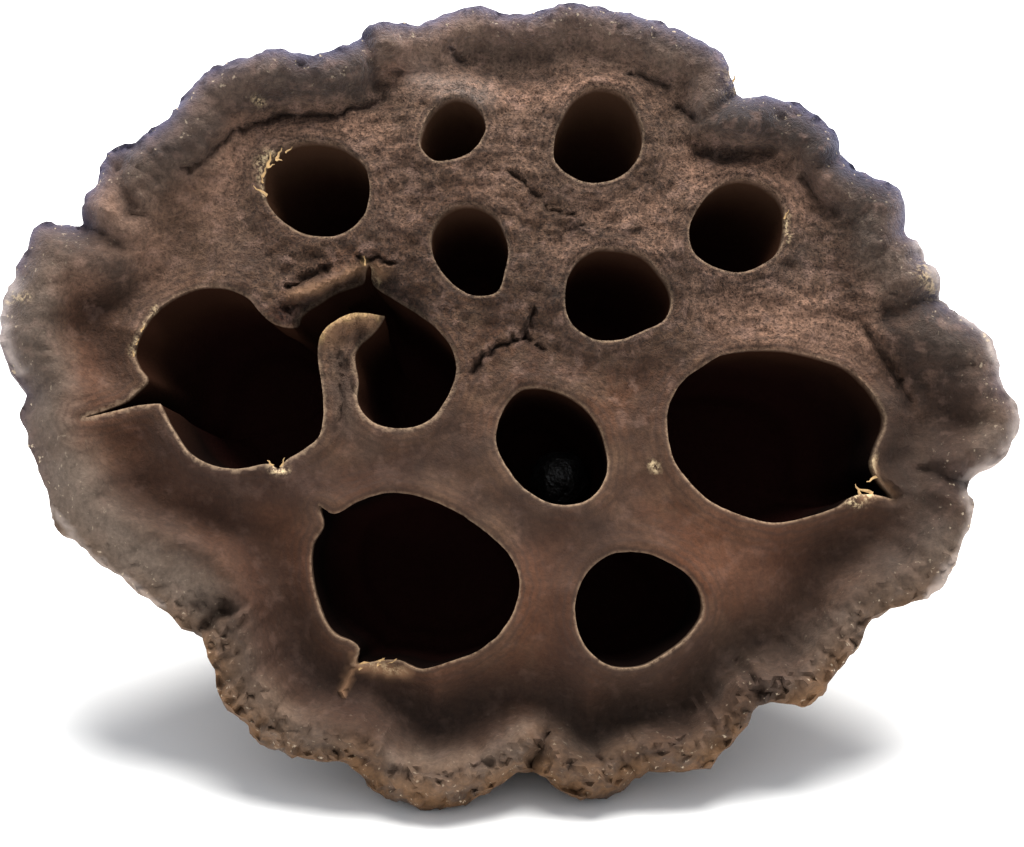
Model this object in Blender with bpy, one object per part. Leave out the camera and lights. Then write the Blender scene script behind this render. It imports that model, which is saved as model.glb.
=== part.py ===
"""Dried lotus seed pod lying on its side, with one shrivelled seed left in a pit.

The pod is one grown piece: a wide, pitted face with a wavy raised collar, a flank that
narrows behind it and a short stub of stem. It lies on two lobes of its rim and on the
stem, with the face turned up towards the front.

Measures are millimetres and degrees, and each mesh is made in metres at the end.
On the face, u runs to the right, v runs up the slope of the face and w stands out of it.
"""
import math

import bmesh
import bpy
import numpy as np
from mathutils import Vector
from mathutils.geometry import delaunay_2d_cdt

# How the pod lies
FACE_TILT = 36.0
FACE_MIDDLE = (0.35, -9.45, 27.65)
# The outlines below are true from a point 12 degrees under the face's own axis, 300 mm off,
# so a raised or sunk spot is moved along the line to that point.
SIGHT_LOW = 12.0
SIGHT_FAR = 300.0

# Fineness
FACE_STEP = 1.55
RIM_STEP = 2.3
PIT_STEP = 1.45
MEASURE_STEP = 0.7
SOFT_STEP = 0.25
# The face is filled with even spots over this span of u and of v, none nearer to another
# than a share of the step, and rows beside an outline leave out spots that crowd at bends
FACE_SPAN = ((-43.0, 43.0), (-34.0, 36.0))
NEAREST_SHARE = 0.62
ROW_SHARE = 0.93
RIM_ROWS = (1.1, 2.3, 3.6, 5.0, 6.5, 8.0)
LIP_ROWS = (1.0,)

# Outline of the rim lobes, clockwise from the notch at the left
RIM = [
    (-37.0, 15.5), (-34.8, 15.5), (-35.1, 16.9), (-33.7, 19.3), (-33.0, 21.4), (-31.9, 21.9),
    (-28.4, 24.1), (-25.8, 27.7), (-24.8, 28.4), (-21.0, 30.0), (-19.0, 30.3), (-16.7, 29.8),
    (-12.7, 31.0), (-12.0, 32.0), (-11.0, 32.6), (-7.6, 32.4), (-4.3, 33.7), (-2.6, 33.9),
    (-0.2, 33.2), (2.2, 33.5), (4.2, 34.3), (7.6, 33.8), (11.8, 32.7), (14.8, 31.4),
    (17.0, 30.1), (17.9, 28.4), (18.3, 27.0), (19.0, 26.4), (20.7, 26.3), (23.4, 25.5),
    (26.5, 23.0), (26.9, 21.4), (27.7, 20.3), (31.3, 18.5), (32.0, 17.2), (31.8, 14.7),
    (32.9, 14.1), (33.2, 12.4), (34.4, 11.8), (34.9, 10.5), (34.5, 9.2), (38.6, 6.1),
    (39.4, 4.1), (39.3, 2.2), (40.7, -0.1), (40.5, -2.1), (39.2, -4.0), (36.5, -5.6),
    (36.4, -6.5), (37.0, -8.2), (36.5, -9.7), (35.1, -12.7), (33.4, -14.9), (31.5, -15.6),
    (28.7, -16.8), (27.9, -18.0), (27.5, -19.2), (23.9, -23.3), (23.2, -23.9), (21.2, -23.7),
    (19.7, -23.5), (18.8, -24.8), (16.0, -28.2), (14.3, -28.9), (10.0, -29.2), (8.2, -30.8),
    (6.3, -31.1), (3.4, -30.2), (1.6, -28.8), (0.4, -29.3), (-2.5, -31.1), (-6.0, -32.0),
    (-8.8, -31.4), (-11.0, -30.3), (-13.0, -28.5), (-17.0, -28.0), (-19.5, -26.9),
    (-21.2, -25.0), (-23.0, -23.2), (-23.8, -20.6), (-25.0, -18.0), (-26.2, -17.4),
    (-31.9, -13.1), (-34.3, -11.1), (-36.0, -10.0), (-36.9, -8.2), (-37.3, -6.4),
    (-39.0, -2.2), (-39.4, -0.7), (-39.0, 1.3), (-40.0, 2.8), (-41.1, 5.2), (-41.3, 8.2),
    (-40.4, 11.0), (-39.2, 14.3), (-38.6, 15.3),
]

# Collar round the face. Each row: angle from the right, distance from the rim and height of
# the crest, distance from the rim and height of the trough, height of the rim's edge
COLLAR = [
    (0, 1.6, 0.6, 5.5, -2.2, -1.2), (12, 2.5, 0.8, 9.0, -1.6, -1.5),
    (22, 2.0, 1.0, 6.5, -1.0, -1.0), (36, 2.0, 1.0, 4.6, -1.4, -0.5),
    (50, 2.5, 2.0, 5.5, -1.2, 0.5), (62, 2.2, 1.2, 5.0, -0.8, 0.3),
    (75, 1.5, 1.0, 4.6, -0.6, 0.3), (90, 0.8, 0.6, 3.2, -2.2, 0.0),
    (103, 1.5, 0.5, 4.4, -0.9, 0.0), (114, 1.5, 2.2, 5.2, -0.8, 1.6),
    (128, 1.5, 2.6, 5.8, -0.8, 2.0), (142, 2.0, 1.6, 8.0, -1.2, 0.4),
    (154, 2.5, 1.0, 8.5, -1.8, -0.6), (165, 3.3, 1.5, 6.8, -2.8, -1.8),
    (180, 3.0, 1.2, 6.5, -1.0, -1.6), (195, 3.5, 1.4, 6.0, -1.2, -1.8),
    (206, 6.0, 1.6, 9.5, -1.6, -2.0), (218, 4.5, 1.0, 8.0, -2.2, -1.5),
    (232, 3.0, 0.8, 7.5, -3.2, -2.0), (248, 3.0, 1.0, 7.5, -4.0, -2.6),
    (262, 3.0, 1.2, 7.6, -4.2, -2.8), (272, 3.0, 1.0, 6.8, -4.0, -2.4),
    (284, 2.6, 0.4, 5.4, -4.4, -3.6), (298, 2.6, 0.2, 5.2, -4.0, -2.3),
    (310, 2.2, 0.2, 4.0, -3.2, -1.2), (322, 2.4, 0.6, 5.0, -3.4, -1.0),
    (338, 2.2, 0.8, 6.0, -3.2, -1.0), (350, 1.8, 0.6, 5.5, -2.4, -1.2),
]
TROUGH_BANK = 5.0
DOME_HEIGHT = 1.4
DOME_REACH = 31.0

# Pits: middle on the face, depth, and radii every 30 degrees from the right
PITS = {
    "top_left": ((-4.8, 23.6), 10.0,
                 (2.7, 2.7, 2.8, 2.8, 2.4, 2.3, 2.5, 3.1, 3.2, 2.7, 2.5, 2.5)),
    "top_right": ((7.0, 22.7), 12.0,
                  (3.7, 3.8, 4.2, 4.2, 3.7, 3.3, 3.5, 4.0, 3.9, 3.8, 3.7, 3.7)),
    "upper_left": ((-15.8, 18.3), 13.0,
                   (4.2, 4.2, 3.9, 3.7, 4.2, 4.8, 4.5, 4.0, 3.8, 3.9, 4.2, 4.3)),
    "upper_middle": ((-3.3, 13.3), 12.0,
                     (3.0, 3.1, 3.5, 3.9, 3.9, 3.6, 3.2, 3.0, 3.2, 3.8, 4.1, 3.2)),
    "middle_right": ((8.7, 9.6), 13.5,
                     (4.2, 3.7, 3.8, 3.8, 4.3, 4.4, 4.4, 4.6, 4.3, 3.8, 3.6, 4.2)),
    "upper_right": ((18.4, 15.2), 13.0,
                    (3.8, 4.1, 3.9, 3.7, 3.5, 3.5, 4.0, 4.2, 3.9, 3.8, 3.7, 3.8)),
    "centre": ((3.4, -3.0), 15.5,
               (4.1, 3.9, 4.1, 4.6, 5.4, 5.0, 4.6, 4.1, 4.2, 4.7, 5.1, 4.8)),
    "right": ((21.1, -2.1), 16.0,
              (8.8, 8.3, 7.4, 7.1, 7.8, 8.6, 8.6, 7.9, 7.2, 7.1, 7.2, 8.6)),
    "lower_left": ((-7.7, -13.8), 16.0,
                   (8.3, 6.9, 6.4, 6.8, 7.8, 8.7, 8.1, 8.0, 6.9, 7.0, 7.3, 7.9)),
    "lower_right": ((10.2, -16.3), 14.5,
                    (5.0, 4.9, 4.5, 4.7, 5.1, 5.2, 5.2, 5.2, 5.1, 4.5, 4.0, 4.3)),
}

# Two pits at the left whose shared wall is torn away at the top: the outline runs round
# both, past the slit at the left and round the curled flap that is left of the wall
TORN_EDGE = [
    (-17.4, 6.9), (-17.0, 7.8), (-15.7, 8.8), (-14.1, 9.8), (-12.6, 10.3), (-11.8, 10.7),
    (-11.2, 10.5), (-9.5, 9.2), (-7.7, 8.0), (-6.1, 6.8), (-4.8, 4.9), (-4.5, 3.1),
    (-5.0, 1.5), (-6.0, -0.2), (-7.3, -1.2), (-9.1, -1.5), (-10.8, -1.2), (-12.0, -0.2),
    (-12.5, 0.8), (-12.4, 2.3), (-12.6, 4.3), (-12.3, 5.4), (-11.4, 5.8), (-10.7, 6.3),
    (-10.4, 7.2), (-10.7, 7.8), (-11.8, 8.1), (-13.1, 8.1), (-14.4, 7.5), (-15.3, 6.7),
    (-15.7, 5.7), (-15.6, 4.0), (-15.2, 1.0), (-15.2, -1.0), (-15.6, -2.3), (-16.8, -3.3),
    (-18.2, -4.2), (-19.6, -4.5), (-22.0, -4.8), (-24.1, -4.5), (-25.9, -3.5),
    (-27.4, -1.9), (-28.4, 0.5), (-30.1, 0.4), (-34.4, -0.6), (-31.2, 0.8), (-30.2, 1.5),
    (-29.5, 2.6), (-30.0, 3.4), (-30.5, 4.7), (-30.0, 6.4), (-29.2, 7.8), (-27.8, 9.0),
    (-26.1, 9.9), (-24.4, 10.2), (-22.6, 9.9), (-21.3, 9.2), (-20.3, 8.0), (-19.2, 7.1),
]
WALL_ENDS = ((-14.1, 9.8), (-13.1, 8.1))
TORN_DEPTHS = (12.5, 16.0)
# Above the parting: depth and rounding of the opening's outline
TORN_ROWS = [(1.6, 0.7), (3.2, 1.3)]

# How a pit narrows: share of its depth, share of its radius, rounding of its outline
PIT_STATIONS = [(0.10, 1.0, 0.5), (0.42, 0.98, 1.0), (0.76, 0.82, 1.6), (0.95, 0.45, 2.0)]
PIT_LEAN = 1 / 62.0

# Lip of each pit: a low swelling with its inner edge rolled down
LIP_HEIGHT = 0.85
LIP_WIDTH = 2.3
ROLL_DEPTH = 0.55
ROLL_WIDTH = 0.9
# Nearer to the rim than this, the lips die out
LIP_FADE = 3.0

# Unevenness of the skin: height, then two crossing waves as turn per mm of u, of v and shift
SWELLS = [
    (0.28, (0.55, 0.31, 1.0), (-0.22, 0.43, 0.0)),
    (0.12, (1.15, -0.60, 0.0), (0.35, 0.95, 2.0)),
]

# Creases, ridges and folds: points, half width and height, minus for a groove
MARKS = [
    ([(1.6, 8.4), (1.0, 5.8), (-1.1, 5.4), (-2.4, 4.0), (-3.2, 3.2)], 0.5, -1.1),
    ([(1.0, 5.8), (2.3, 5.0)], 0.5, -0.8),
    ([(0.0, 19.7), (1.6, 18.1), (2.9, 16.5), (5.3, 16.0)], 0.6, -0.7),
    ([(-1.7, 28.1), (1.3, 27.5), (3.9, 28.1)], 1.0, -0.4),
    ([(15.2, 21.7), (16.9, 21.2), (21.1, 21.6)], 0.8, -1.3),
    ([(15.4, 23.8), (18.2, 24.2)], 1.4, 0.9),
    ([(24.0, 19.7), (24.5, 17.6), (26.3, 16.5)], 0.8, -1.1),
    ([(28.9, 5.9), (30.6, 4.3), (31.7, 2.6)], 0.8, -1.3),
    ([(-26.5, 19.7), (-23.9, 23.0), (-19.1, 24.6), (-12.3, 25.2), (-11.1, 26.1)], 0.8, -1.2),
    ([(-31.2, 21.9), (-32.0, 19.6), (-31.0, 16.5)], 0.9, -1.0),
    ([(-36.1, -1.9), (-34.0, -5.3), (-32.5, -8.2), (-28.6, -9.8), (-25.1, -10.8),
      (-22.4, -12.5), (-20.6, -15.5)], 1.0, 1.1),
    ([(-20.2, 7.7), (-17.5, 8.9), (-14.7, 10.6), (-11.7, 12.0)], 0.9, 0.7),
    ([(-17.4, 10.8), (-15.2, 11.6)], 0.6, -0.8),
    ([(-24.8, -15.6), (-22.6, -16.0)], 1.2, -1.3),
    ([(-23.2, -17.2), (-21.0, -16.6), (-20.7, -20.1)], 0.5, 0.5),
    ([(28.7, -5.6), (30.6, -7.2)], 0.6, -0.9),
    ([(-12.3, -20.3), (-13.1, -21.8), (-13.2, -22.7)], 0.6, 0.8),
    ([(-14.0, 9.0), (-12.4, 7.0)], 1.3, -0.9),
    # Folds between the lobes, from the notches inwards
    ([(-36.0, 15.4), (-32.0, 13.8)], 0.9, -1.1),
    ([(-12.4, 31.2), (-10.6, 27.0)], 0.9, -1.0),
    ([(18.5, 26.8), (16.6, 24.9)], 0.8, -0.9),
    ([(26.9, 21.4), (25.4, 20.2)], 0.8, -0.9),
    ([(34.5, 9.3), (30.5, 8.0)], 1.0, -1.2),
    ([(36.4, -6.0), (33.2, -5.0)], 0.9, -1.0),
    ([(20.2, -23.4), (18.0, -20.8)], 0.9, -0.9),
    ([(1.7, -28.7), (2.8, -25.6)], 0.8, -1.5),
    ([(-25.1, -17.8), (-22.6, -16.0)], 0.8, -1.3),
]

# Flank behind the rim: depth, share of the rim's outline, how far it has turned round
FLANK = [
    (1.2, 0.998, 0.0), (3.6, 0.955, 0.06), (7.0, 0.876, 0.20), (11.5, 0.765, 0.42),
    (16.5, 0.632, 0.65), (21.5, 0.490, 0.82), (26.0, 0.357, 0.93), (29.5, 0.258, 1.0),
]
# Ribs down the flank: angle from the right, width in degrees and height
RIBS = [
    (6, 9, 0.7), (27, 10, 0.9), (47, 8, 0.6), (74, 12, 0.9), (101, 9, 0.7), (127, 10, 0.9),
    (147, 8, 0.6), (168, 10, 0.9), (196, 10, 0.7), (231, 8, 0.8), (254, 7, 0.9),
    (288, 7, 1.9), (305, 6, 0.5), (324, 9, 0.8), (343, 7, 0.6),
]
MEAN_RADIUS = 36.2
# The outline softens and the relief of the face dies out on the way back
FLANK_ROUNDING = (0.4, 3.0)
RELIEF_FADE = 12.0
# Neck and stem: depth and radius, with shallow grooves lengthwise, a little off the middle
NECK = [(31.5, 6.9), (33.0, 7.2), (34.4, 5.7), (37.0, 4.4), (42.6, 4.2)]
STEM_GROOVES = 9
GROOVE_SHARE = 0.04
STEM_SHIFT = (0.2, 0.6)

# The seed left in the middle pit
SEED_MIDDLE = (3.5, -3.9, -7.6)
SEED_HALF = (2.5, 2.5, 3.6)
SEED_TAPER = 0.06
SEED_FOLDS = 5
FOLD_SHARE = 0.025
SEED_RINGS = 11
SEED_SIDES = 20

# Looks, as linear colours
POD_COLOUR = (0.105, 0.068, 0.048)
POD_ROUGHNESS = 0.95
SEED_COLOUR = (0.035, 0.03, 0.028)
SEED_ROUGHNESS = 0.5
SHARP_ANGLE = 50.0

MM = 0.001
TURN = 2 * math.pi


def clear_scene():
    for item in list(bpy.data.objects):
        bpy.data.objects.remove(item, do_unlink=True)


def curve_through(points, step):
    """A closed curve through the points, with every point kept."""
    knots = np.array(points, float)
    ahead = np.roll(knots, -1, axis=0)
    back = np.roll(knots, 1, axis=0)
    gap = np.linalg.norm(ahead - knots, axis=1)
    gap_back = np.roll(gap, 1)
    slope = (ahead - back) / (gap + gap_back)[:, None]
    places = []
    for i in range(len(knots)):
        j = (i + 1) % len(knots)
        count = max(1, round(gap[i] / step))
        for k in range(count):
            t = k / count
            places.append(knots[i] * (2 * t**3 - 3 * t**2 + 1)
                          + slope[i] * gap[i] * (t**3 - 2 * t**2 + t)
                          + knots[j] * (3 * t**2 - 2 * t**3)
                          + slope[j] * gap[i] * (t**3 - t**2))
    return np.array(places)


def pit_outline(middle, radii, step):
    turns = np.arange(len(radii)) * TURN / len(radii)
    reach = np.array(radii)
    knots = np.column_stack([reach * np.cos(turns), reach * np.sin(turns)]) + middle
    return curve_through(knots, step)


def gap_to_line(places, line):
    """Shortest distance from each place to a run of straight pieces."""
    nearest = np.full(len(places), 1e9)
    for start, end in zip(line[:-1], line[1:]):
        along = end - start
        share = np.clip((places - start) @ along / (along @ along), 0, 1)
        reach = np.linalg.norm(places - start - share[:, None] * along, axis=1)
        nearest = np.minimum(nearest, reach)
    return nearest


def closed(line):
    return np.vstack([line, line[:1]])


def inside(places, line):
    """True where a place lies within a closed outline."""
    x, y = places[:, 0], places[:, 1]
    within = np.zeros(len(places), bool)
    for (x0, y0), (x1, y1) in zip(line, np.roll(line, -1, axis=0)):
        crosses = (y0 > y) != (y1 > y)
        rise = y1 - y0 if y1 != y0 else 1e-9
        within ^= crosses & (x < (x1 - x0) * (y - y0) / rise + x0)
    return within


def ease(t):
    t = np.clip(t, 0, 1)
    return t * t * (3 - 2 * t)


def collar_height(places, rim_gap):
    """Rim edge, raised crest and trough, from the rim inwards."""
    angle = np.degrees(np.arctan2(places[:, 1], places[:, 0])) % 360
    table = np.array(COLLAR + [(360,) + COLLAR[0][1:]], float)
    crest_in, crest, trough_in, trough, edge = (
        np.interp(angle, table[:, 0], table[:, k]) for k in range(1, 6))
    up = edge + (crest - edge) * np.sin(np.clip(rim_gap / crest_in, 0, 1) * math.pi / 2)
    down = crest + (trough - crest) * ease((rim_gap - crest_in) / (trough_in - crest_in))
    back = trough * (1 - ease((rim_gap - trough_in) / TROUGH_BANK))
    return np.where(rim_gap < crest_in, up, np.where(rim_gap < trough_in, down, back))


def relief(places, rim_line, pit_lines):
    """Height of the face at each place."""
    rim_gap = gap_to_line(places, closed(rim_line))
    radius = np.linalg.norm(places, axis=1)
    height = collar_height(places, rim_gap)
    height += DOME_HEIGHT * np.clip(1 - (radius / DOME_REACH) ** 2, 0, 1)
    quiet = ease(rim_gap / LIP_FADE)
    for line in pit_lines:
        gap = gap_to_line(places, closed(line))
        height += quiet * LIP_HEIGHT * np.exp(-(gap / LIP_WIDTH) ** 2)
        height -= ROLL_DEPTH * np.clip(1 - gap / ROLL_WIDTH, 0, 1) ** 2
    for points, half_width, rise in MARKS:
        gap = gap_to_line(places, np.array(points))
        height += rise * np.exp(-(gap / half_width) ** 2)
    u, v = places[:, 0], places[:, 1]
    for rise, (au, av, shift), (bu, bv, other_shift) in SWELLS:
        height += rise * np.sin(au * u + av * v + shift) * np.sin(bu * u + bv * v + other_shift)
    return height


def raised(places, height):
    """Face places moved out along the line of sight."""
    low = math.radians(SIGHT_LOW)
    eye = np.array([0.0, -SIGHT_FAR * math.sin(low), SIGHT_FAR * math.cos(low)])
    flat = np.column_stack([places, np.zeros(len(places))])
    return flat + (eye - flat) * (np.asarray(height) / eye[2])[:, None]


def lay_down(spots):
    """Face coordinates to the lying pod, kept on or above the table."""
    tilt = math.radians(FACE_TILT)
    u, v, w = np.asarray(spots, float).T
    x = u + FACE_MIDDLE[0]
    y = v * math.sin(tilt) - w * math.cos(tilt) + FACE_MIDDLE[1]
    z = v * math.cos(tilt) + w * math.sin(tilt) + FACE_MIDDLE[2]
    return np.column_stack([x, y, np.maximum(z, 0.0)])


def softened(ring, sigma):
    """The ring with its corners rounded over a length of sigma."""
    loop = closed(ring)
    length = np.concatenate([[0], np.cumsum(np.linalg.norm(np.diff(loop, axis=0), axis=1))])
    count = int(length[-1] / SOFT_STEP)
    even = np.linspace(0, length[-1], count, endpoint=False)
    dense = np.column_stack([np.interp(even, length, loop[:, k]) for k in range(loop.shape[1])])
    wave = np.fft.fftfreq(count, length[-1] / count)
    fade = np.exp(-2 * (math.pi * wave * sigma) ** 2)[:, None]
    smooth = np.real(np.fft.ifft(np.fft.fft(dense, axis=0) * fade, axis=0))
    smooth = np.vstack([smooth, smooth[:1]])
    ticks = np.append(even, length[-1])
    return np.column_stack([np.interp(length[:-1], ticks, smooth[:, k])
                            for k in range(loop.shape[1])])


def add_ring(mesh, spots):
    return [mesh.verts.new(Vector(spot) * MM) for spot in lay_down(spots)]


def join_rings(mesh, ring, lower):
    for i in range(len(ring)):
        j = (i + 1) % len(ring)
        mesh.faces.new((ring[i], ring[j], lower[j], lower[i]))


def close_ring(mesh, ring, spots):
    middle = mesh.verts.new(Vector(lay_down([np.mean(spots, axis=0)])[0]) * MM)
    for i in range(len(ring)):
        mesh.faces.new((ring[i], ring[(i + 1) % len(ring)], middle))


def sink_pit(mesh, ring, spots, depth):
    """Pit wall and rounded floor below a ring on the face."""
    top = spots.copy()
    middle = top.mean(axis=0)
    for share, width, rounding in PIT_STATIONS:
        down = share * depth
        shape = softened(top, rounding)
        shape[:, :2] = middle[:2] + (shape[:, :2] - middle[:2]) * width
        shape[:, :2] -= middle[:2] * down * PIT_LEAN
        level = (1 - share) * shape[:, 2] + share * middle[2]
        shape[:, 2] = level - down
        lower = add_ring(mesh, shape)
        join_rings(mesh, ring, lower)
        ring = lower
    floor = shape.copy()
    floor[:, 2] = middle[2] - depth
    close_ring(mesh, ring, floor)


def sink_torn_pits(mesh, ring, spots):
    """The joined pits: one torn opening that parts into two pits below the skin."""
    for down, rounding in TORN_ROWS:
        shape = softened(spots, rounding)
        shape[:, :2] -= shape[:, :2] * down * PIT_LEAN
        shape[:, 2] -= down
        lower = add_ring(mesh, shape)
        join_rings(mesh, ring, lower)
        ring = lower
    i, j = sorted(int(np.argmin(np.linalg.norm(spots[:, :2] - end, axis=1)))
                  for end in WALL_ENDS)
    parts = [list(range(i, j + 1)), list(range(j, len(ring))) + list(range(0, i + 1))]
    for picked, depth in zip(parts, TORN_DEPTHS):
        sink_pit(mesh, [ring[k] for k in picked], shape[picked], depth - TORN_ROWS[-1][0])


def beside(line, distance):
    """Spots at a distance to the left of a closed outline."""
    along = np.roll(line, -1, axis=0) - np.roll(line, 1, axis=0)
    along /= np.linalg.norm(along, axis=1)[:, None]
    spots = line + np.column_stack([-along[:, 1], along[:, 0]]) * distance
    return spots[gap_to_line(spots, closed(line)) > ROW_SHARE * abs(distance)]


def thinned(spots, taken, nearest):
    """The spots that stay clear of those already taken."""
    cells = {}
    kept = []
    for number, (u, v) in enumerate(np.vstack([taken, spots])):
        a, b = int(u // nearest), int(v // nearest)
        near = [spot for i in (a - 1, a, a + 1) for j in (b - 1, b, b + 1)
                for spot in cells.get((i, j), ())]
        if number >= len(taken):
            if any((u - x) ** 2 + (v - y) ** 2 < nearest ** 2 for x, y in near):
                continue
            kept.append((u, v))
        cells.setdefault((a, b), []).append((u, v))
    return np.array(kept)


def face_grid(rim_line, pit_lines):
    """Rows along the rim and round the pits, and even spots between them."""
    across, up = FACE_SPAN
    levels = np.arange(*up, FACE_STEP * math.sqrt(3) / 2)
    even = [(u + (k % 2) * FACE_STEP / 2, v) for k, v in enumerate(levels)
            for u in np.arange(*across, FACE_STEP)]
    rows = [beside(rim_line, distance) for distance in RIM_ROWS]
    rows += [beside(line, -distance) for distance in LIP_ROWS for line in pit_lines]
    spots = np.vstack(rows + [even])
    spots = spots[inside(spots, rim_line)]
    for line in pit_lines:
        spots = spots[~inside(spots, line)]
    return thinned(spots, np.vstack([rim_line] + pit_lines), NEAREST_SHARE * FACE_STEP)


def build_pod(mesh):
    rim = curve_through(RIM[::-1], RIM_STEP)
    pits = [pit_outline(middle, radii, PIT_STEP) for middle, _, radii in PITS.values()]
    torn = curve_through(TORN_EDGE, PIT_STEP)
    outlines = [rim] + pits + [torn]
    measured = [pit_outline(middle, radii, MEASURE_STEP) for middle, _, radii in PITS.values()]
    measured.append(curve_through(TORN_EDGE, MEASURE_STEP))
    measured_rim = curve_through(RIM[::-1], MEASURE_STEP)

    edges = []
    count = 0
    for line in outlines:
        edges += [(count + k, count + (k + 1) % len(line)) for k in range(len(line))]
        count += len(line)
    places = np.vstack(outlines + [face_grid(rim, pits + [torn])])
    net = delaunay_2d_cdt([Vector(place) for place in places], edges, [], 1, 1e-6)
    if len(net[0]) != len(places):
        raise ValueError("two outlines of the face touch")
    corners = np.array([list(spot) for spot in net[0]])
    faces = np.array(net[2])
    centres = corners[faces].mean(axis=1)
    keep = inside(centres, rim)
    for line in pits + [torn]:
        keep &= ~inside(centres, line)

    spots = raised(corners, relief(corners, measured_rim, measured))
    verts = add_ring(mesh, spots)
    for a, b, c in faces[keep]:
        mesh.faces.new((verts[a], verts[b], verts[c]))

    start = len(rim)
    for (_, depth, _), line in zip(PITS.values(), pits):
        picked = slice(start, start + len(line))
        sink_pit(mesh, verts[picked], spots[picked], depth)
        start += len(line)
    sink_torn_pits(mesh, verts[start:start + len(torn)], spots[start:start + len(torn)])
    add_flank(mesh, verts[:len(rim)], spots[:len(rim)])


def rib_height(angles):
    height = np.zeros(len(angles))
    for angle, width, rise in RIBS:
        off = (angles - angle + 180) % 360 - 180
        height += rise * np.exp(-(off / width) ** 2)
    return height


def add_flank(mesh, ring, spots):
    """Flank from the rim back to the neck, and the stub of stem."""
    turns = np.arctan2(spots[:, 1], spots[:, 0])
    round_out = np.column_stack([np.cos(turns), np.sin(turns)])
    last = FLANK[-1][0]
    ribs = rib_height(np.degrees(turns))
    for depth, width, turned in FLANK:
        shape = softened(spots, np.interp(turned, (0, 1), FLANK_ROUNDING))
        flat = (shape[:, :2] * (1 - turned) + round_out * MEAN_RADIUS * turned) * width
        flat += round_out * (ribs * math.sin(math.pi * depth / last))[:, None]
        shape[:, :2] = flat + np.array(STEM_SHIFT) * depth / NECK[-1][0]
        shape[:, 2] = shape[:, 2] * (1 - min(1, depth / RELIEF_FADE)) - depth
        lower = add_ring(mesh, shape)
        join_rings(mesh, ring, lower)
        ring = lower
    for depth, radius in NECK:
        ridged = radius * (1 + GROOVE_SHARE * np.sin(STEM_GROOVES * turns))
        slide = np.array(STEM_SHIFT) * depth / NECK[-1][0]
        flat = round_out * ridged[:, None] + slide
        shape = np.column_stack([flat, np.full(len(flat), -depth)])
        lower = add_ring(mesh, shape)
        join_rings(mesh, ring, lower)
        ring = lower
    close_ring(mesh, ring, shape)


def seed_belt(turns, up):
    """Spots round the seed at a height between its lower end, -1, and its upper end, 1."""
    out = math.sqrt(1 - up * up) * (1 - SEED_TAPER * up)
    wrinkle = 1 - FOLD_SHARE * (1 + np.sin(SEED_FOLDS * turns + 2 * up))
    u = SEED_MIDDLE[0] + SEED_HALF[0] * out * wrinkle * np.cos(turns)
    v = SEED_MIDDLE[1] + SEED_HALF[1] * out * wrinkle * np.sin(turns)
    w = np.full(len(turns), SEED_MIDDLE[2] + SEED_HALF[2] * up)
    return np.column_stack([u, v, w])


def build_seed(mesh):
    """A wrinkled, slightly pointed seed lying along its pit."""
    turns = np.arange(SEED_SIDES) * TURN / SEED_SIDES
    tips = [add_ring(mesh, seed_belt(turns[:1], end))[0] for end in (1.0, -1.0)]
    belts = [add_ring(mesh, seed_belt(turns, math.cos(math.pi * k / SEED_RINGS)))
             for k in range(1, SEED_RINGS)]
    for upper, lower in zip(belts[:-1], belts[1:]):
        join_rings(mesh, upper, lower)
    for i in range(SEED_SIDES):
        j = (i + 1) % SEED_SIDES
        mesh.faces.new((tips[0], belts[0][j], belts[0][i]))
        mesh.faces.new((tips[1], belts[-1][i], belts[-1][j]))


def finish(mesh, name, material):
    bmesh.ops.recalc_face_normals(mesh, faces=mesh.faces)
    bmesh.ops.triangulate(mesh, faces=mesh.faces)
    data = bpy.data.meshes.new(name)
    mesh.to_mesh(data)
    mesh.free()
    data.materials.append(material)
    data.shade_smooth()
    data.set_sharp_from_angle(angle=math.radians(SHARP_ANGLE))
    piece = bpy.data.objects.new(name, data)
    bpy.context.scene.collection.objects.link(piece)
    return piece


def dry_material(name, colour, roughness):
    material = bpy.data.materials.new(name)
    material.use_nodes = True
    shader = material.node_tree.nodes["Principled BSDF"]
    shader.inputs["Base Color"].default_value = (*colour, 1.0)
    shader.inputs["Roughness"].default_value = roughness
    shader.inputs["Metallic"].default_value = 0.0
    return material


def main():
    clear_scene()
    pod = bmesh.new()
    build_pod(pod)
    finish(pod, "pod", dry_material("dry_pod_skin", POD_COLOUR, POD_ROUGHNESS))
    seed = bmesh.new()
    build_seed(seed)
    finish(seed, "seed", dry_material("dry_seed_coat", SEED_COLOUR, SEED_ROUGHNESS))


main()
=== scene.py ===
"""A dried lotus seed pod lying on a pale table, with one shrivelled seed in a pit.

Measures are millimetres and degrees until a mesh is made, which is in metres.
On the face, u runs to the right, v runs up the slope of the face and w stands out of it.
"""

import math

import bmesh
import bpy
import numpy as np
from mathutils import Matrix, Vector, noise
from mathutils.geometry import delaunay_2d_cdt


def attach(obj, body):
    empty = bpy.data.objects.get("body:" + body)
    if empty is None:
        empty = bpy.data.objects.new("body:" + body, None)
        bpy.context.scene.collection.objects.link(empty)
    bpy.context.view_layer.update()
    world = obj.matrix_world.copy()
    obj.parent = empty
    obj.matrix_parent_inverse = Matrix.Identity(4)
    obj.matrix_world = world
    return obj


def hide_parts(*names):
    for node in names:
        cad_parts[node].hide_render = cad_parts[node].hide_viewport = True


MM = 0.001
TURN = 2 * math.pi

# How the pod lies, as in the solid model
FACE_TILT = 36.0
FACE_MIDDLE = (0.35, -9.45, 27.65)
# The line of sight: how far it lies below the face's normal, and from how far off it comes
SIGHT_LOW = 12.0
SIGHT_FAR = 300.0

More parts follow.
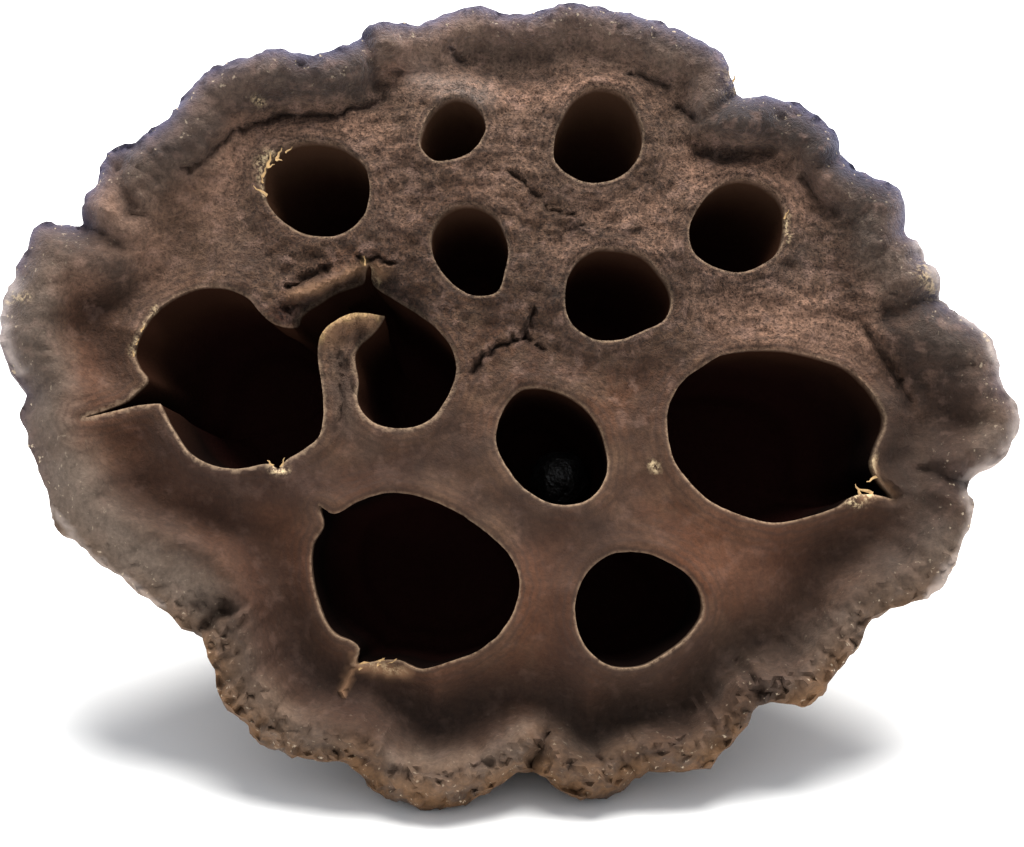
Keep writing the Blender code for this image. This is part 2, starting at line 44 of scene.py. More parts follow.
# Fineness of the skin: distances between the points of its parts
FACE_STEP = 0.36
RIM_STEP = 0.42
PIT_STEP = 0.38
MEASURE_STEP = 0.6
FLANK_ROW = 0.75
PIT_ROW = 0.8
# Rows of points beside the outlines: how far in from the rim and out from the pits
RIM_ROWS = (0.3, 0.65, 1.0, 1.35)
PIT_ROWS = (0.22, 0.5, 0.8)
# A row keeps this share of its distance from all parts of its outline, and two points keep
# this share of the step from each other
ROW_CLEARANCE = 0.93
SPOT_CLEARANCE = 0.6
# The face lies within these limits, from left to right and from bottom to top
FACE_WIDTH = (-43, 43)
FACE_LENGTH = (-34, 36)

# Outline of the rim lobes, clockwise from the notch at the left
RIM = [
    (-37.0, 15.5), (-34.8, 15.5), (-35.1, 16.9), (-33.7, 19.3), (-33.0, 21.4), (-31.9, 21.9),
    (-28.4, 24.1), (-25.8, 27.7), (-24.8, 28.4), (-21.0, 30.0), (-19.0, 30.3), (-16.7, 29.8),
    (-12.7, 31.0), (-12.0, 32.0), (-11.0, 32.6), (-7.6, 32.4), (-4.3, 33.7), (-2.6, 33.9),
    (-0.2, 33.2), (2.2, 33.5), (4.2, 34.3), (7.6, 33.8), (11.8, 32.7), (14.8, 31.4),
    (17.0, 30.1), (17.9, 28.4), (18.3, 27.0), (19.0, 26.4), (20.7, 26.3), (23.4, 25.5),
    (26.5, 23.0), (26.9, 21.4), (27.7, 20.3), (31.3, 18.5), (32.0, 17.2), (31.8, 14.7),
    (32.9, 14.1), (33.2, 12.4), (34.4, 11.8), (34.9, 10.5), (34.5, 9.2), (38.6, 6.1),
    (39.4, 4.1), (39.3, 2.2), (40.7, -0.1), (40.5, -2.1), (39.2, -4.0), (36.5, -5.6),
    (36.4, -6.5), (37.0, -8.2), (36.5, -9.7), (35.1, -12.7), (33.4, -14.9), (31.5, -15.6),
    (28.7, -16.8), (27.9, -18.0), (27.5, -19.2), (23.9, -23.3), (23.2, -23.9), (21.2, -23.7),
    (19.7, -23.5), (18.8, -24.8), (16.0, -28.2), (14.3, -28.9), (10.0, -29.2), (8.2, -30.8),
    (6.3, -31.1), (3.4, -30.2), (1.6, -28.8), (0.4, -29.3), (-2.5, -31.1), (-6.0, -32.0),
    (-8.8, -31.4), (-11.0, -30.3), (-13.0, -28.5), (-17.0, -28.0), (-19.5, -26.9),
    (-21.2, -25.0), (-23.0, -23.2), (-23.8, -20.6), (-25.0, -18.0), (-26.2, -17.4),
    (-31.9, -13.1), (-34.3, -11.1), (-36.0, -10.0), (-36.9, -8.2), (-37.3, -6.4),
    (-39.0, -2.2), (-39.4, -0.7), (-39.0, 1.3), (-40.0, 2.8), (-41.1, 5.2), (-41.3, 8.2),
    (-40.4, 11.0), (-39.2, 14.3), (-38.6, 15.3),
]

# Collar round the face. Each row: angle from the right, distance from the rim and height of
# the crest, distance from the rim and height of the trough, height of the rim's edge
COLLAR = [
    (0, 1.6, 0.6, 5.5, -2.2, -1.2), (12, 2.5, 0.8, 9.0, -1.6, -1.5),
    (22, 2.0, 1.0, 6.5, -1.0, -1.0), (36, 2.0, 1.0, 4.6, -1.4, -0.5),
    (50, 2.5, 2.0, 5.5, -1.2, 0.5), (62, 2.2, 1.2, 5.0, -0.8, 0.3),
    (75, 1.5, 1.0, 4.6, -0.6, 0.3), (90, 0.8, 0.6, 3.2, -1.2, 0.0),
    (103, 1.5, 0.5, 4.4, -0.9, 0.0), (114, 1.5, 2.2, 5.2, -0.8, 1.6),
    (128, 1.5, 2.6, 5.8, -0.8, 2.0), (142, 2.0, 1.6, 8.0, -1.2, 0.4),
    (154, 2.5, 1.0, 8.5, -1.8, -0.6), (165, 3.3, 1.5, 6.8, -2.8, -1.8),
    (180, 3.0, 1.2, 6.5, -1.0, -1.2), (195, 3.5, 1.2, 6.0, -1.2, -0.8),
    (206, 6.0, 1.2, 9.5, -1.6, -0.5), (218, 4.5, 0.8, 8.0, -2.2, -0.4),
    (232, 3.0, 0.8, 7.5, -3.2, -2.0), (248, 3.0, 1.0, 7.5, -4.0, -2.6),
    (262, 3.0, 1.2, 7.6, -4.2, -2.8), (272, 3.0, 1.0, 6.8, -4.0, -2.4),
    (284, 2.6, 0.4, 5.4, -4.4, -3.6), (298, 2.6, 0.2, 5.2, -4.0, -2.3),
    (310, 2.2, 0.2, 4.0, -3.2, -1.2), (322, 2.4, 0.6, 5.0, -3.4, -1.0),
    (338, 2.2, 0.8, 6.0, -3.2, -1.0), (350, 1.8, 0.6, 5.5, -2.4, -1.2),
]
TROUGH_BANK = 5.0
# The collar's section is a mean of shifted ones. Each row: shift inwards and share
COLLAR_ROUNDING = ((-0.6, 0.25), (0.0, 0.5), (0.6, 0.25))
# Low on the rim the bends are sharper, and crest and trough lie nearer to the edge, by
# these shares
BEND_SHARPNESS = 0.15
SHARPER_BELOW = 0.4
CREST_OUT_BELOW = 0.25
TROUGH_OUT_BELOW = 0.15
CLIMB_POWER = 0.85
# The colours of the collar end this far inside the rim, and those of its edge sooner
COLLAR_END = 7.0
COLLAR_BLEND = 4.0
EDGE_REACH = 1.5
# Skin that is sunk deeper than this gets painted shade, up to full shade over the range
SHADE_FROM = 0.7
SHADE_RANGE = 3.2

# Dome of the whole face: height in the middle and how far out it goes
DOME_HEIGHT = 1.4
DOME_REACH = 31.0
# Broad swells and shorter ripples of the whole face
SWELL_HEIGHT = 0.28
RIPPLE_HEIGHT = 0.12

# Pits: middle on the face, depth, and radii every 30 degrees from the right
PITS = {
    "top_left": ((-4.8, 23.6), 10.0,
                 (2.7, 2.7, 2.8, 2.8, 2.4, 2.3, 2.5, 3.1, 3.2, 2.7, 2.5, 2.5)),
    "top_right": ((7.0, 22.7), 12.0,
                  (3.7, 3.8, 4.4, 4.5, 3.9, 3.4, 3.5, 4.0, 3.9, 3.8, 3.7, 3.7)),
    "upper_left": ((-15.8, 18.3), 13.0,
                   (4.2, 4.3, 4.2, 4.2, 4.6, 4.9, 4.5, 4.0, 3.8, 3.9, 4.2, 4.3)),
    "upper_middle": ((-3.3, 13.3), 12.0,
                     (3.0, 3.1, 3.5, 3.9, 3.9, 3.6, 3.2, 3.0, 3.2, 3.8, 4.1, 3.2)),
    "middle_right": ((8.7, 9.6), 13.5,
                     (4.2, 3.7, 3.8, 3.8, 4.3, 4.4, 4.4, 4.6, 4.3, 3.8, 3.6, 4.2)),
    "upper_right": ((18.4, 15.2), 13.0,
                    (3.8, 4.2, 4.2, 4.1, 3.8, 3.6, 4.0, 4.2, 3.9, 3.8, 3.7, 3.8)),
    "centre": ((3.4, -3.0), 15.5,
               (4.1, 3.9, 4.1, 4.6, 5.4, 5.0, 4.6, 4.1, 4.2, 4.7, 5.1, 4.8)),
    "right": ((21.1, -2.1), 16.0,
              (8.8, 8.3, 7.4, 7.1, 7.8, 8.6, 8.6, 7.9, 7.2, 7.1, 7.2, 8.6)),
    "lower_left": ((-7.7, -13.8), 16.0,
                   (8.3, 6.9, 6.4, 6.8, 7.8, 8.7, 8.1, 8.0, 6.9, 7.0, 7.3, 7.9)),
    "lower_right": ((10.2, -16.3), 14.5,
                    (5.0, 4.9, 4.5, 4.7, 5.1, 5.2, 5.2, 5.2, 5.1, 4.5, 4.0, 4.3)),
}

# Two pits at the left whose shared wall is torn away at the top: the outline runs round
# both, past the slit at the left and round the curled flap that is left of the wall
TORN_EDGE = [
    (-17.4, 6.9), (-17.0, 7.8), (-15.7, 8.8), (-14.1, 9.8), (-12.6, 10.3), (-12.0, 10.6),
    (-11.85, 11.8), (-11.6, 12.15), (-11.4, 11.7), (-11.25, 10.4), (-9.5, 9.2), (-7.7, 8.0),
    (-6.1, 6.8), (-4.8, 4.9), (-4.5, 3.1), (-5.0, 1.5), (-6.0, -0.2), (-7.3, -1.2),
    (-9.1, -1.5), (-10.8, -1.2), (-12.0, -0.2), (-12.5, 0.8), (-12.4, 2.3), (-12.7, 4.2),
    (-12.6, 4.9), (-12.1, 5.6), (-11.4, 6.2), (-10.9, 6.8), (-10.5, 7.4), (-10.3, 7.75),
    (-10.7, 7.8), (-11.8, 8.0), (-13.1, 7.95), (-14.3, 7.4), (-15.1, 6.7), (-15.6, 5.7),
    (-15.6, 4.0), (-15.2, 1.0), (-15.2, -1.0), (-15.6, -2.3), (-16.8, -3.3), (-18.1, -4.1),
    (-18.8, -4.9), (-19.4, -4.4), (-22.0, -4.8), (-24.1, -4.5), (-25.9, -3.5), (-27.2, -1.7),
    (-28.1, 0.0), (-28.3, 0.5), (-28.8, 0.5), (-30.1, 0.35), (-34.4, -0.6), (-31.3, 0.6),
    (-30.3, 1.4), (-29.4, 2.5), (-30.0, 3.4), (-30.5, 4.7), (-30.0, 6.4), (-29.2, 7.8),
    (-27.8, 9.0), (-26.1, 9.9), (-24.4, 10.2), (-22.6, 9.9), (-21.3, 9.2), (-20.3, 8.0),
    (-19.2, 7.1),
]
# Where the wall between the two pits starts and ends, below the torn skin
WALL_ENDS = ((-14.1, 9.8), (-13.1, 8.1))
TORN_DEPTHS = (12.5, 16.0)
TORN_SKIN = 3.2
TORN_ROWS = 8
TORN_ROUNDING = 0.6

# How a pit narrows: share of its depth, share of its radius, rounding of its outline
PIT_STATIONS = [
    (0.0, 1.0, 0.0), (0.10, 1.0, 0.5), (0.42, 0.98, 1.0), (0.76, 0.82, 1.6),
    (0.95, 0.45, 2.0), (1.0, 0.06, 2.2),
]
PIT_LEAN = 1 / 62.0
# Rounding of a ring: the least that is done, and the steps round the ring that it uses
LEAST_ROUNDING = 0.05
ROUNDING_STEP = 0.2
LEAST_STEPS = 32
# A pit has this many rows or more, a little closer together near its floor
LEAST_ROWS = 6
ROW_POWER = 1.15
# Streaks down the wall: height and size, and the row from which they are full
STREAKS = (0.12, 1.2)
STREAK_START = 3

# Lip of each pit: a low swelling with its inner edge rolled down, mostly at the pit's top
LIP_HEIGHT = 0.85
LIP_WIDTH = 2.3
ROLL_DEPTH = 0.4
ROLL_WIDTH = 0.9
ROLL_BELOW = 0.4
SHALLOW_BELOW = 0.2
DEEPER_ABOVE = 0.6
# Near the rim there is no swelling
LIPLESS_RIM = 3.0
# A narrow raised hem runs round the edge
HEM_HEIGHT = 0.12
HEM_GAP = 0.6
# The very edge is a thin light line, partly paler tissue and partly painted highlight, dimmer at
# the top of a pit where less light falls
LIGHT_LINE = 0.13
LIGHT_REACH = 1.0
DIM_ABOVE = 0.6
UPPER_BLEND = 1.6
# Distance from a pit up to which its rings of wrinkles can be drawn
NEAR_LIMIT = 6.0

# Creases, ridges and folds: points, half width and height, minus for a groove
MARKS = [
    ([(1.6, 8.4), (1.0, 5.8), (-1.1, 5.4), (-2.4, 4.0), (-3.2, 3.2)], 0.20, -1.0),
    ([(1.0, 5.8), (2.3, 5.0)], 0.18, -0.8),
    ([(0.0, 19.7), (1.6, 18.1), (2.9, 16.5), (5.3, 16.0)], 0.18, -0.6),
    ([(1.4, 8.4), (0.8, 6.2), (-1.1, 5.8), (-2.4, 4.4)], 0.6, 0.35),
    ([(-0.2, 19.4), (1.4, 17.8), (2.7, 16.2), (5.3, 15.6)], 0.6, 0.35),
    ([(4.5, 15.0), (8.0, 15.0)], 0.22, -0.2), ([(6.0, 14.5), (11.0, 14.9)], 0.22, -0.15),
    ([(-2.6, 29.3), (-0.8, 28.8), (0.8, 28.6), (2.4, 28.9)], 1.3, -1.0),
    ([(-2.6, 28.2), (-0.8, 27.6), (0.8, 27.4), (3.0, 27.7)], 0.5, -0.4),
    ([(15.2, 21.7), (16.9, 21.2), (21.1, 21.6)], 0.6, -0.9),
    ([(15.4, 23.8), (18.2, 24.2)], 1.4, 0.9),
    ([(24.0, 19.7), (24.5, 17.6), (26.3, 16.5)], 0.7, -1.2),
    ([(28.4, 6.8), (30.0, 4.5), (31.3, 2.0), (31.9, 0.0)], 0.32, -0.9),
    ([(-26.5, 20.0), (-22.6, 23.2), (-18.6, 24.7), (-14.2, 24.5), (-10.5, 26.0)], 0.3, -0.9),
    ([(-31.2, 21.9), (-32.0, 19.6), (-31.0, 16.5)], 0.8, -1.0),
    ([(-36.1, -1.9), (-34.0, -5.3), (-32.5, -8.2), (-28.6, -9.8), (-25.1, -10.8),
      (-22.4, -12.5), (-20.6, -15.5)], 1.4, 0.5),
    ([(-18.6, 8.8), (-17.2, 9.7), (-15.0, 10.5), (-12.8, 11.4)], 0.8, 0.9),
    ([(-17.9, 10.3), (-16.4, 10.9), (-15.0, 11.5)], 0.25, -1.0),
    ([(-12.5, 12.6), (-11.2, 12.7), (-10.1, 12.3)], 0.25, -1.0),
    ([(-17.0, 7.6), (-15.6, 8.7), (-14.1, 9.7), (-12.4, 10.4)], 0.75, -2.2),
    ([(-11.2, 10.6), (-9.6, 9.2), (-7.8, 8.0)], 1.1, -1.8),
    ([(-14.0, 4.6), (-13.7, 1.0), (-14.0, -1.5)], 0.2, -0.3),
    ([(-13.2, 4.2), (-13.0, 1.5)], 0.2, -0.25),
    ([(-5.2, 30.2), (-3.9, 29.0)], 0.25, -0.6), ([(-10.0, 28.3), (-9.2, 28.0)], 0.3, -0.7),
    ([(13.6, 25.4), (14.8, 24.6)], 0.3, -0.7), ([(9.6, 28.1), (12.5, 27.1)], 0.25, -0.6),
    ([(-24.8, -15.6), (-22.6, -16.0)], 1.0, -0.8),
    ([(-23.2, -17.2), (-21.0, -16.6), (-20.7, -20.1)], 0.35, 0.5),
    ([(28.7, -5.6), (30.6, -7.2)], 0.45, -1.0),
    ([(-12.3, -20.3), (-13.0, -21.6), (-13.3, -22.7)], 0.2, 0.6),
    ([(-21.8, -16.6), (-21.2, -19.6), (-19.6, -23.4), (-15.4, -26.7)], 0.4, 0.4),
    ([(-14.0, 9.0), (-12.4, 7.0)], 1.0, -0.6),
    ([(-15.4, 6.4), (-14.3, 7.4), (-13.1, 7.95), (-11.0, 7.9)], 0.8, 0.8),
    ([(-10.4, 7.3), (-11.0, 6.5), (-12.2, 5.3)], 0.6, -1.2),
    # Folds between the lobes, from the notches inwards
    ([(-36.0, 15.4), (-32.0, 13.8)], 0.8, -1.1),
    ([(-12.4, 31.2), (-10.6, 27.0)], 0.8, -1.0),
    ([(18.5, 26.8), (16.6, 24.9)], 0.7, -0.9),
    ([(26.9, 21.4), (25.4, 20.2)], 0.7, -0.9),
    ([(34.5, 9.3), (30.5, 8.0)], 0.9, -1.2),
    ([(36.4, -6.0), (33.2, -5.0)], 0.8, -1.0),
    ([(20.2, -23.4), (18.0, -20.8)], 0.8, -0.9),
    ([(1.7, -28.7), (2.8, -25.6)], 0.7, -1.2),
    ([(1.5, -29.2), (1.9, -28.0), (2.8, -26.2)], 0.24, -1.0),
    ([(-16.0, -26.8), (-10.0, -28.9), (-5.0, -29.6), (-1.0, -28.0)], 0.25, -0.5),
    ([(4.4, -28.4), (9.0, -28.3), (14.0, -26.6)], 0.25, -0.5),
    ([(-25.1, -17.8), (-22.6, -16.0)], 0.7, -1.3),
]

# Marks narrower than this are cracks, whose sides get points of their own
CRACK_WIDTH = 0.26
CRACK_STEP = 0.24
# Grooves narrower than this get painted shade of up to the next share; hollows wider than this are
# no darker than the skin round them
BROAD_HOLLOW = 1.2
HOLLOW_SHADE = 0.8
# Drawn strokes are shifted by this much, in waves of this length, so that they look ragged
RAGGED_SHIFT = 0.45
RAGGED_WAVE = 1.5

# Where the grain of the upper face fades out: to the left, inside the rim and downwards.
# Each row: where it is gone or least, over what distance it grows, and what share is lost
GRAIN_LEFT = (-26.0, 8.0, 0.55)
GRAIN_RIM = (6.5, 4.0, 0.6)
GRAIN_LOW = (-6.0, 18.0, 0.85)

# Fine relief of the skin: height and size of the bumps, or of the torn tissue's holes
PAPERY = (0.16, 3.2)
GRAINY = (0.08, 1.1)
PEBBLED = (0.42, 1.2)
SPECKLED = (0.13, 0.8)
GRITTY = (0.02, 0.75)
SPONGY = (1.1, 1.0)
# Puckers round a pit: height, distance from one to the next, waver and reach
PUCKER = (0.05, 0.85, 2.5, 2.6)
# The collar: lumps, folds, creases and the crumpled edge, with more of them low on the rim
COLLAR_REACH = 7.5
FOLD_STRETCH = 4.0
LUMPS = (0.22, 4.5)
FOLDS = (0.40, 2.6)
CREASES = (0.2, 0.9)
CRUMPLED = (0.5, 1.1)
CRUMPLED_REACH = 3.0
MORE_BELOW = 2.6
PITTED_BELOW = (0.35, 2.4)
BELOW_FROM = 8.0
BELOW_RANGE = 16.0
# The relief is quieter at the very edge of a pit
QUIET_EDGE = 0.5
LEAST_RELIEF = 0.15

# Flank behind the rim: depth, share of the rim's outline, how far it has turned round
FLANK = [
    (0.0, 1.0, 0.0), (1.2, 0.998, 0.0), (3.6, 0.955, 0.06), (7.0, 0.876, 0.20),
    (11.5, 0.765, 0.42), (16.5, 0.632, 0.65), (21.5, 0.490, 0.82), (26.0, 0.357, 0.93),
    (29.5, 0.258, 1.0),
]
# Ribs down the flank: angle from the right, width in degrees and height
RIBS = [
    (6, 9, 0.7), (27, 10, 0.9), (47, 8, 0.6), (74, 12, 0.9), (101, 9, 0.7), (127, 10, 0.9),
    (147, 8, 0.6), (168, 10, 0.9), (196, 10, 0.7), (231, 8, 0.8), (254, 7, 0.9),
    (288, 7, 1.9), (305, 6, 0.5), (324, 9, 0.8), (343, 7, 0.6),
]
MEAN_RADIUS = 36.2
# Corners of the rim are rounded by the first, and where the flank is round by both together
FLANK_ROUNDING = (0.4, 3.0)
# The ups and downs of the rim are level by this depth
LEVEL_DEPTH = 12
# Relief of the flank: height and size. Its lumps are drawn out down the flank
FLANK_STRETCH = 9.0
FLANK_LUMPS = (0.28, 1.7)
FLANK_GRAIN = (0.10, 1.0)
# Crumpled skin behind the rim, which goes this far down
FLANK_CRUMPLED = (0.4, 1.2)
FLANK_CRUMPLED_REACH = 4.5
# Neck and stem: depth and radius, and how far aside the stem ends
NECK = [(29.5, 9.34), (31.5, 6.9), (33.0, 7.2), (34.4, 5.7), (37.0, 4.4), (42.6, 4.2)]
STEM_SHIFT = (0.2, 0.6)
STEM_RIDGES = 9
RIDGE_SHARE = 0.04
BRISTLE = (0.16, 0.25)
# A ring of small scars round the neck, at this depth and over half this width
SCARS = (0.5, 1.6)
SCAR_DEPTH = 32.4
SCAR_WIDTH = 1.3
# Air canals in the cut end, and the shares of its radius at which it has rings of points
STEM_CANALS = 7
CANAL_CIRCLE = 0.58
CANAL_RADIUS = 0.55
CANAL_DEPTH = 1.4
STEM_SHARES = (0.93, 0.82, 0.72, 0.62, 0.52, 0.42, 0.31, 0.2, 0.1)

# How far down a wall the looks of its edge reach, and where the pit's own lining of dark tissue
# and painted shade starts
PIT_FADE = 0.35
FLANK_FADE = 8.0
LINING_FROM = 0.05
LINING_BLEND = 0.3

# Finer outlines of the two pits whose edges are torn
FINE_EDGES = {
    "lower_left": [
        (0.6, -13.8), (-0.2, -11.9), (-1.7, -10.3), (-4.5, -8.3), (-7.7, -7.0), (-10.2, -6.8),
        (-12.4, -7.5), (-14.2, -8.5), (-15.4, -7.9), (-15.0, -9.4), (-15.9, -11.0),
        (-16.0, -13.0), (-15.6, -15.0), (-14.9, -17.1), (-14.1, -18.2), (-12.7, -18.8),
        (-12.1, -19.4), (-12.4, -20.6), (-10.9, -20.4), (-9.0, -20.3), (-8.2, -20.7),
        (-7.1, -21.0), (-4.6, -20.3), (-2.5, -19.4), (-0.8, -17.9), (0.3, -15.9),
    ],
    "right": [
        (29.8, 0.1), (28.3, 2.3), (26.7, 3.6), (24.8, 4.3), (21.1, 5.0), (17.2, 4.6),
        (15.2, 3.5), (13.6, 2.2), (12.6, 0.2), (12.5, -2.1), (13.1, -4.3), (14.3, -6.0),
        (15.8, -7.4), (17.5, -8.3), (19.3, -8.9), (21.1, -9.2), (23.0, -8.9), (24.7, -8.4),
        (26.3, -7.8), (27.3, -7.05), (28.9, -6.9), (30.5, -7.2), (29.5, -5.9), (28.9, -4.4),
        (29.2, -3.1), (29.9, -1.4),
    ],
}
